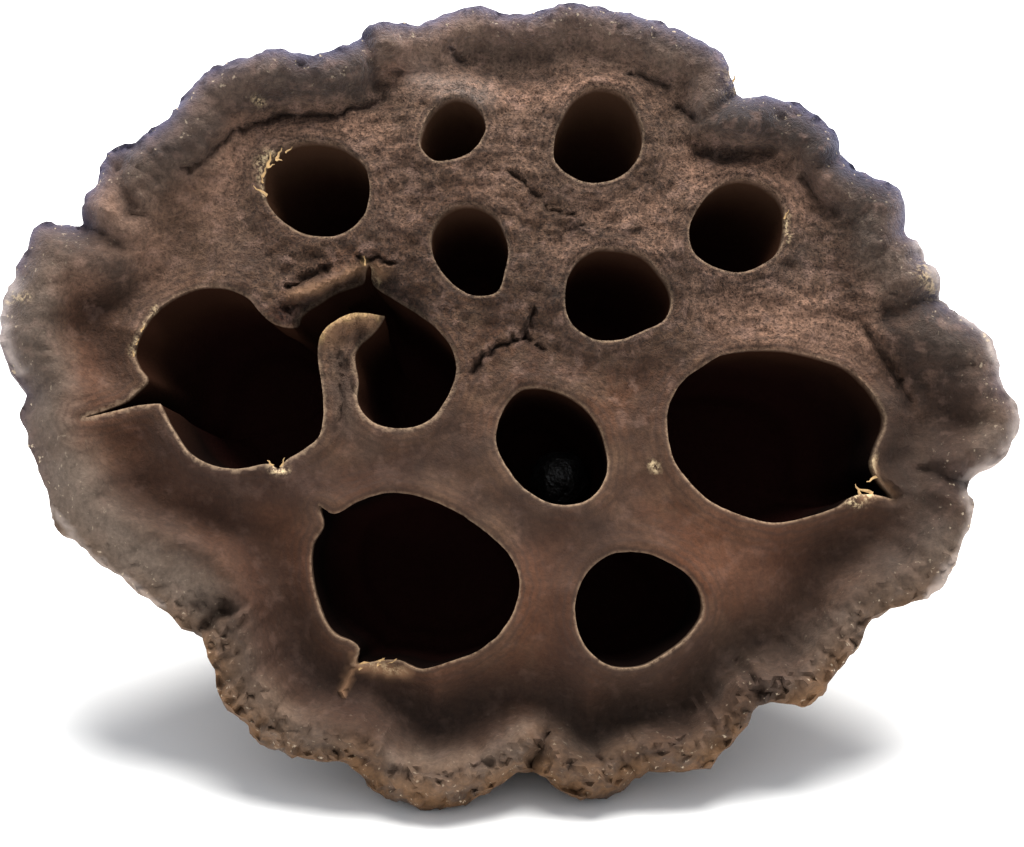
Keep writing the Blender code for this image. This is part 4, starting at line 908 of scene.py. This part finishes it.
def leftward(line):
    """Directions to the left of a closed outline, at each of its points."""
    along = np.roll(line, -1, axis=0) - np.roll(line, 1, axis=0)
    along /= np.linalg.norm(along, axis=1)[:, None]
    return np.column_stack([-along[:, 1], along[:, 0]])


def beside(line, distance):
    """Spots at a distance to the left of a closed outline."""
    spots = line + leftward(line) * distance
    return spots[gap_to_line(spots, closed(line)) > ROW_CLEARANCE * abs(distance)]


def thinned(spots, taken, nearest):
    """The spots that stay clear of those already taken."""
    cells = {}
    kept = []
    for number, (u, v) in enumerate(np.vstack([taken, spots])):
        a, b = int(u // nearest), int(v // nearest)
        near = [spot for i in (a - 1, a, a + 1) for j in (b - 1, b, b + 1)
                for spot in cells.get((i, j), ())]
        if number >= len(taken):
            if any((u - x) ** 2 + (v - y) ** 2 < nearest ** 2 for x, y in near):
                continue
            kept.append((u, v))
        cells.setdefault((a, b), []).append((u, v))
    return np.array(kept)


def face_spots(rim_line, pit_lines):
    """Even points over the face, with rows beside its outlines and along its cracks."""
    row_gap = FACE_STEP * math.sqrt(3) / 2
    even = [(u + (k % 2) * FACE_STEP / 2, v)
            for k, v in enumerate(np.arange(*FACE_LENGTH, row_gap))
            for u in np.arange(*FACE_WIDTH, FACE_STEP)]
    rows = [beside(rim_line, distance) for distance in RIM_ROWS]
    rows += [beside(line, -distance) for distance in PIT_ROWS for line in pit_lines]
    spots = np.vstack([crack_spots()] + rows + [even])
    spots = spots[inside(spots, rim_line)]
    for line in pit_lines:
        spots = spots[~inside(spots, line)]
    return thinned(spots, np.vstack([rim_line] + pit_lines), SPOT_CLEARANCE * FACE_STEP)


def roughened(line, depth):
    """An outline with a fine broken edge."""
    shift = depth * fractal(on_face(line) + 3.0, EDGE_WAVE)
    return line - leftward(line) * shift[:, None]


def make_face(rim, pits, rim_line):
    """The pitted sheet of the face, which no primitive gives: evenly spaced points between
    the outlines, raised to the height of the skin."""
    edges = []
    count = 0
    for line in [rim] + pits:
        edges += [(count + k, count + (k + 1) % len(line)) for k in range(len(line))]
        count += len(line)
    places = np.vstack([rim] + pits + [face_spots(rim, pits)])
    net = delaunay_2d_cdt([Vector(place) for place in places], edges, [], 1, 1e-7)
    corners = np.array([list(spot) for spot in net[0]])
    faces = np.array(net[2])
    centres = corners[faces].mean(axis=1)
    keep = inside(centres, rim)
    for line in pits:
        keep &= ~inside(centres, line)
    height, skin = measure_face(corners, rim_line, pits)
    spots = raised(corners, height)
    sheet = sheet_piece("face_sheet", lay_down(spots), [tuple(f) for f in faces[keep]])
    set_skin(sheet, np.zeros(len(corners)), skin)
    return sheet, spots, skin


def pit_rings(top, depth):
    """Rings down one pit, from its edge to its floor, and how far down each one lies."""
    middle = top.mean(axis=0)
    count = max(LEAST_ROWS, round(depth / PIT_ROW))
    shares = 1 - (1 - np.arange(count + 1) / count) ** ROW_POWER
    rings = [top]
    for k, share in enumerate(shares[1:], 1):
        width, rounding = smooth_table(share, PIT_STATIONS)
        down = share * depth
        shape = softened(top, rounding)
        shape[:, :2] = middle[:2] + (shape[:, :2] - middle[:2]) * width
        shape[:, :2] -= middle[:2] * down * PIT_LEAN
        shape[:, 2] = (1 - share) * shape[:, 2] + share * middle[2] - down
        streak = bumps(shape * (1.0, 1.0, 0.25), STREAKS, 2)
        streak = streak * min(1, k / STREAK_START) * min(1, 2 * (1 - share))
        out = shape[:, :2] - shape[:, :2].mean(axis=0)
        out /= np.maximum(np.linalg.norm(out, axis=1), 1e-6)[:, None]
        shape[:, :2] += out * streak[:, None]
        rings.append(shape)
    return rings, depth * shares


def pit_wall(name, top, depth, skin, start=0.0):
    """The wall and floor of one pit, whose edge lies at the depth start."""
    rings, downs = pit_rings(top, depth)
    return pull_wall(name, [lay_down(ring) for ring in rings], start + downs, True, skin,
                     PIT_FADE)


def torn_walls(top, skin):
    """One torn opening that parts into two pits below the skin."""
    rings = [top]
    downs = np.linspace(0, TORN_SKIN, TORN_ROWS + 1)
    for down in downs[1:]:
        shape = softened(top, TORN_ROUNDING * (down / TORN_SKIN) ** 0.8)
        shape[:, :2] -= shape[:, :2] * down * PIT_LEAN
        shape[:, 2] -= down
        rings.append(shape)
    laid = [lay_down(ring) for ring in rings]
    walls = [pull_wall("torn_skin", laid, downs, False, skin, PIT_FADE)]
    last = rings[-1]
    i, j = sorted(int(np.argmin(np.linalg.norm(top[:, :2] - end, axis=1))) for end in WALL_ENDS)
    parts = [list(range(i, j + 1)), list(range(j, len(top))) + list(range(0, i + 1))]
    for name, picked, depth in zip(("small_torn_pit", "large_torn_pit"), parts, TORN_DEPTHS):
        carried = {layer: shares[picked] for layer, shares in skin.items()}
        walls.append(pit_wall(name, last[picked], depth - TORN_SKIN, carried, TORN_SKIN))
    return walls


def rib_height(angles):
    """How far the ribs stand out at angles round the flank."""
    height = np.zeros(len(angles))
    for angle, width, rise in RIBS:
        off = (angles - angle + 180) % 360 - 180
        height += rise * np.exp(-(off / width) ** 2)
    return height


def flank_ring(rim_spots, turns, ribs, depth):
    """One ring of the flank, the neck or the stem, at a depth below the rim."""
    round_out = np.column_stack([np.cos(turns), np.sin(turns)])
    slide = np.array(STEM_SHIFT) * depth / NECK[-1][0]
    wave, grain = (np.column_stack([round_out * MEAN_RADIUS, np.full(len(turns), along)])
                   for along in (depth / FLANK_STRETCH, depth))
    end = FLANK[-1][0]
    if depth <= end:
        width, turned = smooth_table(depth, FLANK)
        least, more = FLANK_ROUNDING
        shape = softened(rim_spots, (least + more * turned) * min(1, depth))
        flat = (shape[:, :2] * (1 - turned) + round_out * MEAN_RADIUS * turned) * width
        flat += round_out * (ribs * math.sin(math.pi * depth / end))[:, None]
        level = shape[:, 2] * (1 - min(1, depth / LEVEL_DEPTH)) - depth
        rough = bumps(wave, FLANK_LUMPS) + bumps(grain + 5.0, FLANK_GRAIN, 2)
        fade = math.exp(-(depth / FLANK_CRUMPLED_REACH) ** 2)
        rough += fade * np.abs(bumps(grain, FLANK_CRUMPLED, 2))
        flat += round_out * (rough * min(1, depth / 1.5) * min(1, width * 1.6))[:, None]
    else:
        radius = smooth_table(depth, NECK)[0]
        ridged = radius * (1 + RIDGE_SHARE * np.sin(STEM_RIDGES * turns))
        bristle = bumps(grain * 0.2 + 2.0, BRISTLE, 2)
        fade = math.exp(-((depth - SCAR_DEPTH) / SCAR_WIDTH) ** 2)
        scar = fade * np.abs(bumps(grain, SCARS, 2))
        flat = round_out * (ridged + bristle + scar)[:, None]
        level = np.full(len(turns), -depth)
    return np.column_stack([flat + slide, level])


def make_flank(rim_spots, skin):
    """Flank, neck and stem, and the cut end with its air canals."""
    turns = np.arctan2(rim_spots[:, 1], rim_spots[:, 0])
    ribs = rib_height(np.degrees(turns))
    end = NECK[-1][0]
    depths = np.linspace(0, end, round(end / FLANK_ROW) + 1)
    rings = [rim_spots]
    rings += [flank_ring(rim_spots, turns, ribs, depth) for depth in depths[1:]]
    last = rings[-1]
    middle = last.mean(axis=0)
    angle = np.arange(STEM_CANALS) * TURN / STEM_CANALS + 0.4
    circle = CANAL_CIRCLE * NECK[-1][1]
    canals = middle[:2] + circle * np.column_stack([np.cos(angle), np.sin(angle)])
    for share in STEM_SHARES:
        ring = middle + (last - middle) * share
        for canal in np.vstack([canals, middle[:2]]):
            gap = np.linalg.norm(ring[:, :2] - canal, axis=1)
            ring[:, 2] += CANAL_DEPTH * np.exp(-(gap / CANAL_RADIUS) ** 4)
        rings.append(ring)
    downs = np.append(depths, np.full(len(STEM_SHARES), end))
    return pull_wall("flank", [lay_down(ring) for ring in rings], downs, True, skin, FLANK_FADE)


def make_shred(root, heading, length, width):
    """A flat, pointed shred: a cone drawn out along the heading and curled up to its tip."""
    bpy.ops.object.select_all(action="DESELECT")
    bpy.ops.mesh.primitive_cone_add(vertices=6, radius1=0.5, radius2=0.1, depth=1.0)
    shred = bpy.context.object
    bpy.ops.object.mode_set(mode="EDIT")
    bpy.ops.mesh.select_all(action="SELECT")
    bpy.ops.mesh.subdivide(number_cuts=3)
    bpy.ops.object.mode_set(mode="OBJECT")
    ahead = np.array([math.cos(math.radians(heading)), math.sin(math.radians(heading)), 0.0])
    aside = np.array([-ahead[1], ahead[0], 0.0])
    for vert in shred.data.vertices:
        share = vert.co.z + 0.5
        ragged = vert.co.x + 0.2 * math.sin(9 * share + heading)
        rise = SHRED_RISE * length * share ** 2 + SHRED_THICKNESS * vert.co.y - SHRED_ROOT_DEPTH
        spot = root + ahead * length * share + aside * width * ragged + (0, 0, rise)
        vert.co = lay_down([spot])[0]
    count = len(shred.data.vertices)
    set_skin(shred, np.zeros(count), {"cream": np.full(count, SHRED_CREAM)})
    return shred


def make_pod():
    """The whole receptacle: face, pits, flank and stem, with the loose shreds on its face."""
    rim = roughened(curve_through(RIM[::-1], RIM_STEP), RIM_ROUGHNESS)
    pits = []
    for name, (middle, _, radii) in PITS.items():
        fine = FINE_EDGES.get(name)
        line = curve_through(fine, PIT_STEP) if fine else pit_outline(middle, radii, PIT_STEP)
        pits.append(roughened(line, PIT_ROUGHNESS))
    pits.append(roughened(curve_through(TORN_EDGE, PIT_STEP), TORN_ROUGHNESS))
    rim_line = curve_through(RIM[::-1], MEASURE_STEP)
    sheet, spots, skin = make_face(rim, pits, rim_line)
    outlines = [rim] + pits
    ends = np.cumsum([len(line) for line in outlines])
    tops = [slice(end - len(line), end) for line, end in zip(outlines, ends)]
    skins = [{name: values[top] for name, values in skin.items()} for top in tops]
    pieces = [sheet, make_flank(spots[tops[0]], skins[0])]
    for (name, (_, depth, _)), top, values in zip(PITS.items(), tops[1:], skins[1:]):
        pieces.append(pit_wall(name + "_pit", spots[top], depth, values))
    pieces += torn_walls(spots[tops[-1]], skins[-1])
    roots = np.array([row[:2] for row in SHREDS])
    height, _ = measure_face(roots, rim_line, pits)
    pieces += [make_shred(root, *row[2:]) for root, row in zip(raised(roots, height), SHREDS)]
    select_only(pieces)
    bpy.ops.object.join()
    pod = bpy.context.object
    pod.name = "pod_skin"
    bpy.ops.object.mode_set(mode="EDIT")
    bpy.ops.mesh.select_all(action="SELECT")
    bpy.ops.mesh.remove_doubles(threshold=1e-6)
    bpy.ops.mesh.normals_make_consistent(inside=False)
    bpy.ops.object.mode_set(mode="OBJECT")
    bpy.ops.object.shade_smooth_by_angle(angle=math.radians(SMOOTH_ANGLE))
    return pod


def make_seed():
    """A shrivelled seed: a sphere drawn out along the pit and wrinkled lengthwise."""
    bpy.ops.object.select_all(action="DESELECT")
    bpy.ops.mesh.primitive_uv_sphere_add(segments=56, ring_count=36, radius=1.0)
    seed = bpy.context.object
    seed.name = "seed_coat"
    for vert in seed.data.vertices:
        x, y, up = vert.co
        turn = math.atan2(y, x)
        ridge = 0.5 + 0.5 * math.sin(SEED_RIDGES * turn + 2 * up)
        uneven = fractal([(3 * x, 3 * y, 1.6 * up)], 1.0)[0]
        out = (1 + SEED_WRINKLE * (uneven - ridge)) * (1 - SEED_TAPER * up)
        spot = (SEED_MIDDLE[0] + SEED_HALF[0] * out * x, SEED_MIDDLE[1] + SEED_HALF[1] * out * y,
                SEED_MIDDLE[2] + SEED_HALF[2] * up)
        vert.co = lay_down([spot])[0]
    bpy.ops.object.shade_smooth()
    return seed


def tone(code):
    """A hex sRGB colour as linear values."""
    parts = [int(code[k:k + 2], 16) / 255 for k in (0, 2, 4)]
    linear = [c / 12.92 if c <= 0.04045 else ((c + 0.055) / 1.055) ** 2.4 for c in parts]
    return (*linear, 1.0)


def feed(tree, node, inputs):
    """Links or sets a node's inputs, given by name or number or else in the node's order."""
    for key, value in inputs.items() if isinstance(inputs, dict) else enumerate(inputs):
        if isinstance(value, bpy.types.NodeSocket):
            tree.links.new(value, node.inputs[key])
        else:
            node.inputs[key].default_value = value


def put(tree, kind, inputs=(), out=0, **settings):
    """Adds a node, sets it up, feeds it and gives back one of its outputs."""
    node = tree.nodes.new("ShaderNode" + kind)
    for name, value in settings.items():
        setattr(node, name, value)
    feed(tree, node, inputs)
    return node.outputs[out]


def lay_coats(tree, colour, coats):
    """Lays colours over one another. Each coat: its colour, the value that brings it in, the
    range of that value and, where they aren't 0, 1 and 1, its share at both ends of the range
    and a factor for the share."""
    for coat, value, low, high, *rest in coats:
        start, end, factor = (*rest, *(0.0, 1.0, 1.0)[len(rest):])
        share = put(tree, "MapRange", [value, low, high, start, end])
        share = put(tree, "Math", [share, factor], operation="MULTIPLY")
        coat = tone(coat) if isinstance(coat, str) else coat
        colour = put(tree, "Mix", {0: share, 6: colour, 7: coat}, 2, data_type="RGBA")
    return colour


def blank_material(name):
    """A new material, with its nodes and its shader."""
    material = bpy.data.materials.new(name)
    material.use_nodes = True
    tree = material.node_tree
    return material, tree, tree.nodes["Principled BSDF"]


def lengthwise(tree, place, down):
    """Coordinates round the pod and down the flank, where fibres run from rim to stem."""
    on_pod = put(tree, "Mapping", {"Vector": place, "Location": Vector(FACE_MIDDLE) * MM,
                                   "Rotation": (math.radians(90 - FACE_TILT), 0.0, 0.0)},
                 vector_type="TEXTURE")
    flat = put(tree, "VectorMath", [on_pod, (1.0, 1.0, 0.0)], operation="MULTIPLY")
    turned = put(tree, "VectorMath", [flat], operation="NORMALIZE")
    ring = put(tree, "VectorMath", {0: turned, "Scale": MEAN_RADIUS * MM}, operation="SCALE")
    drop = put(tree, "Math", [down, MM / FIBRE_STRETCH], operation="MULTIPLY")
    return put(tree, "VectorMath", [ring, put(tree, "CombineXYZ", {"Z": drop})])


def pod_material():
    """Dry lotus receptacle: dead spongy tissue under a papery skin. Matt, fuzzy, mottled
    grey, red and brown, with a grain of short fibres about 0.2 mm apart."""
    material, tree, shader = blank_material("dry_lotus_tissue")
    place = put(tree, "TexCoord", out="Object")
    up = put(tree, "SeparateXYZ", [place], "Z")
    skin = {name: put(tree, "Attribute", out="Fac", attribute_name=name)
            for name in SKIN_LAYERS}
    down, rim, grain = (skin[name] for name in ("down", "rim", "grain"))
    fibre_place = lengthwise(tree, place, down)
    spots = {}
    for name, (size, detail, rough) in POD_PATTERNS.items():
        spots[name] = put(tree, "TexNoise", {"Vector": fibre_place if name == "streaks" else place,
                                             "Scale": 1.0 / (size * MM), "Detail": detail,
                                             "Roughness": rough}, "Fac")
    specks = spots["specks"]

    # The collar is greyer than the face, and greyer and cooler higher up, a painted cool cast of
    # the light from above. The lining of a pit is dark, and brown high up
    collar = lay_coats(tree, tone("5C4636"), [("52443C", up, 0.012, 0.050),
                                              ("75665B", spots["clouds"], 0.46, 0.66, 0.0, 0.6)])
    # The lining is dark brown tissue deepened by painted shade; its lighter browns in the pits
    # high on the pod are painted light
    wall_tone_and_shade = lay_coats(tree, tone("0C0706"), [("26160F", up, 0.024, 0.031),
                                              ("3C291E", up, 0.036, 0.044),
                                              ("2A1512", down, 4.5, 12.0)])

    # Shares of the flank, of all but the collar, and of three parts of the rim: where it is
    # low, where it has pale crumbs, and its very edge, which gets a painted bluish halo of light
    flank = put(tree, "MapRange", [down, 0.5, 9.0])
    off_collar = put(tree, "MapRange", [skin["collar"], 0.0, 1.0, 1.0, 0.4])
    low_rim = put(tree, "Math", [rim, put(tree, "MapRange", [up, 0.022, 0.004, 0.1, 1.0])],
                  operation="MULTIPLY")
    crumbs = put(tree, "Math", [rim, put(tree, "MapRange", [down, 2.0, 0.5])],
                 operation="MULTIPLY")
    edge = put(tree, "Math", [rim, 3.0], operation="POWER")

    colour = lay_coats(tree, tone("4A372B"), [
        ("5F3D28", spots["patches"], 0.38, 0.62),
        ("684D3A", spots["blotches"], 0.42, 0.66),
        (collar, skin["collar"], 0.0, 1.0),
        # Painted light: the face is lighter higher up, where more light falls
        ("8E715E", up, 0.034, 0.054, 0.0, 0.6, off_collar),
        ("63503F", flank, 0.0, 1.0, 0.0, 0.7),
        ("3D2C22", spots["streaks"], 0.42, 0.66, 0.0, 0.85, flank),
        ("8F6844", spots["blotches"], 0.36, 0.54, 0.0, 1.0, low_rim),
        ("623A24", skin["orange"], 0.0, 1.0),
        ("7B6A5D", skin["grey"], 0.0, 1.0),
        # Reddish patches and painted highlight on lit bands
        ("A67F69", skin["warm_and_highlight"], 0.0, 1.0),
        # Darker skin, and painted shade above folds and in troughs
        ("2F2520", skin["dark"], 0.0, 1.0),
        # Mostly painted shade, in dark reddish brown
        ("382013", skin["umber_and_shade"], 0.0, 1.0),
        ("4A2A1C", skin["spongy"], 0.0, 1.0),
        # Painted shade in sunk troughs and narrow grooves
        ("33251D", skin["painted_hollow_shade"], 0.0, 1.0, 0.0, 0.75),
    ])

    # Light and dark specks, stronger where the skin is grainy
    darkest, lightest = (put(tree, "MapRange", [grain, 0.1, 1.0, smooth, grainy])
                         for smooth, grainy in ((0.54, 0.27), (0.76, 1.04)))
    speckle = put(tree, "MapRange", [specks, 0.36, 0.64, darkest, lightest])
    grey = put(tree, "CombineColor", [speckle, speckle, speckle])
    colour = put(tree, "Mix", {0: 1.0, 6: colour, 7: grey}, 2, data_type="RGBA",
                 blend_type="MULTIPLY")

    # Fine wrinkles run round each pit, WRINKLE_GAP apart, and die out
    waver = put(tree, "Math", [spots["waver"], 9.0], operation="MULTIPLY")
    turn = put(tree, "Math", [skin["near"], TURN / WRINKLE_GAP, waver], operation="MULTIPLY_ADD")
    wrinkles = put(tree, "Math", [turn], operation="SINE")
    by_pits = put(tree, "MapRange", [skin["near"], 3.6, 0.3, 0.0, 0.55])

    colour = lay_coats(tree, colour, [
        ("98786A", spots["mottle"], 0.54, 0.68, 0.0, 0.45, grain),
        ("4A3226", spots["mottle"], 0.46, 0.34, 0.0, 0.45, grain),
        ("2E1C14", spots["fibres"], 0.47, 0.34, 0.0, 0.8, grain),
        ("33231B", wrinkles, -0.2, 1.0, 0.0, 1.0, by_pits),
        ("8E6B50", skin["torn"], 0.0, 1.0),
        # Painted light: a bluish halo along the very edge of the upper rim
        ("535574", up, 0.02, 0.045, 0.0, 0.7, edge),
        # Painted highlight along the rim's edges
        ("C4B5AC", skin["painted_highlight"], 0.0, 1.0),
        ("BBA890", spots["glints"], 0.66, 0.72, 0.0, 1.0, crumbs),
        # Light line at the pit edges: paler tissue and painted highlight
        ("B0957A", specks, 0.36, 0.56, 0.08, 0.56, skin["lip_tint_and_highlight"]),
        ("C4A070", specks, 0.3, 0.55, 0.5, 1.0, skin["cream"]),
        ("E6CBA0", specks, 0.46, 0.60, 0.0, 1.0, skin["gold"]),
        # Painted shade: pit walls go nearly black below the edge
        (wall_tone_and_shade, skin["inner_wall_and_shade"], 0.0, 1.0),
    ])

    # Fibres and specks stand out most on the upper face and a little on the flank
    force = put(tree, "Math", [put(tree, "MapRange", [grain, 0.15, 1.0, 0.16, 1.0]),
                               put(tree, "MapRange", [flank, 0.0, 1.0, 0.0, 0.32])],
                operation="MAXIMUM")
    normal = put(tree, "Bump", {"Height": specks, "Strength": force, "Distance": 1.05 * MM})
    normal = put(tree, "Bump", {"Height": spots["fibres"], "Strength": force,
                                "Distance": 0.3 * MM, "Normal": normal})
    # Fuzz lights up the upper rim, and the pits have no shine
    fuzz = put(tree, "Math", [rim, put(tree, "MapRange", [up, 0.02, 0.05, 0.0, 0.4])],
               operation="MULTIPLY")
    shine = put(tree, "MapRange", [skin["inner_wall_and_shade"], 0.0, 1.0, 0.25, 0.0])
    feed(tree, shader, {"Base Color": colour, "Normal": normal, "Roughness": 0.88,
                        "Specular IOR Level": shine, "Sheen Weight": fuzz,
                        "Sheen Tint": (0.80, 0.82, 1.0, 1.0), "Sheen Roughness": 0.4})
    return material


def seed_material():
    """Hard dry seed coat: dark grey-brown, with a dull shine."""
    material, tree, shader = blank_material("dry_seed_coat")
    place = put(tree, "TexCoord", out="Object")
    cloud, fine = (put(tree, "TexNoise", {"Vector": place, "Scale": 1.0 / (size * MM),
                                          "Detail": detail, "Roughness": 0.6}, "Fac")
                   for size, detail in SEED_PATTERNS)
    colour = lay_coats(tree, tone("0C0A09"), [("1F1C1A", cloud, 0.35, 0.65)])
    normal = put(tree, "Bump", {"Height": fine, "Strength": 0.7, "Distance": 0.1 * MM})
    normal = put(tree, "Bump", {"Height": cloud, "Strength": 1.0, "Distance": 1.2 * MM,
                                "Normal": normal})
    feed(tree, shader, {"Base Color": colour, "Normal": normal, "Roughness": 0.4})
    return material


def table_material():
    """White card: matt, and almost without shine."""
    material, tree, shader = blank_material("white_card")
    feed(tree, shader, {"Base Color": tone("F7F7F7"), "Roughness": 0.9,
                        "Specular IOR Level": 0.1})
    return material


def dress(piece, material):
    """Gives a piece its one material."""
    piece.data.materials.clear()
    piece.data.materials.append(material)


def add_table():
    """A large flat table just under the pod."""
    bpy.ops.object.select_all(action="DESELECT")
    bpy.ops.mesh.primitive_plane_add(size=TABLE_SIZE, location=(0, 0, -TABLE_DROP))
    table = bpy.context.object
    table.name = "table"
    bpy.ops.object.transform_apply(location=True)
    dress(table, table_material())


def add_camera():
    """A camera in front of the pod, whose scale gives the face its size in the picture."""
    low = math.radians(CAMERA_LOW)
    middle = Vector(FACE_MIDDLE) * MM
    back = Vector((0, -math.cos(low), math.sin(low)))
    up = Vector((0, math.sin(low), math.cos(low)))
    spot = middle + back * SIGHT_FAR * MM
    aim = middle - up * CAMERA_AIM_DROP * MM
    data = bpy.data.cameras.new("camera")
    data.sensor_width = SENSOR_MM
    data.lens = SIGHT_FAR / PIXEL_MM / PICTURE_WIDTH * SENSOR_MM
    camera = bpy.data.objects.new("camera", data)
    camera.location = spot
    camera.rotation_euler = (aim - spot).to_track_quat("-Z", "Y").to_euler()
    bpy.context.scene.collection.objects.link(camera)
    bpy.context.scene.camera = camera


def add_light():
    """A white tent all round, and one softbox above and behind the pod."""
    world = bpy.data.worlds.new("light_tent")
    world.use_nodes = True
    backdrop = world.node_tree.nodes["Background"]
    feed(world.node_tree, backdrop, {"Color": TENT_COLOUR, "Strength": TENT_STRENGTH})
    bpy.context.scene.world = world
    data = bpy.data.lights.new("top_softbox", "AREA")
    data.shape = "DISK"
    data.size = SOFTBOX_SIZE
    data.energy = SOFTBOX_POWER
    data.color = SOFTBOX_COLOUR
    softbox = bpy.data.objects.new("top_softbox", data)
    softbox.location = SOFTBOX_PLACE
    softbox.rotation_euler = (-Vector(SOFTBOX_PLACE)).to_track_quat("-Z", "Y").to_euler()
    bpy.context.scene.collection.objects.link(softbox)
    bpy.context.scene.view_settings.view_transform = "Standard"


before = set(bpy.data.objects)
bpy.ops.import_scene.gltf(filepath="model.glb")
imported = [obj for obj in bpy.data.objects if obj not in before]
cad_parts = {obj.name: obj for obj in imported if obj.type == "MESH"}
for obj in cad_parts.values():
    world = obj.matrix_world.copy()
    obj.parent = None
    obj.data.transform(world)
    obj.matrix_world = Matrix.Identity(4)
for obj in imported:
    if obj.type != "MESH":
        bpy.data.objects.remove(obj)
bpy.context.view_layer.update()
add_camera()
add_light()
add_table()

pod = make_pod()
dress(pod, pod_material())
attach(pod, "root")
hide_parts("pod")

seed = make_seed()
dress(seed, seed_material())
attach(seed, "root")
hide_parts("seed")

bpy.ops.object.select_all(action="DESELECT")
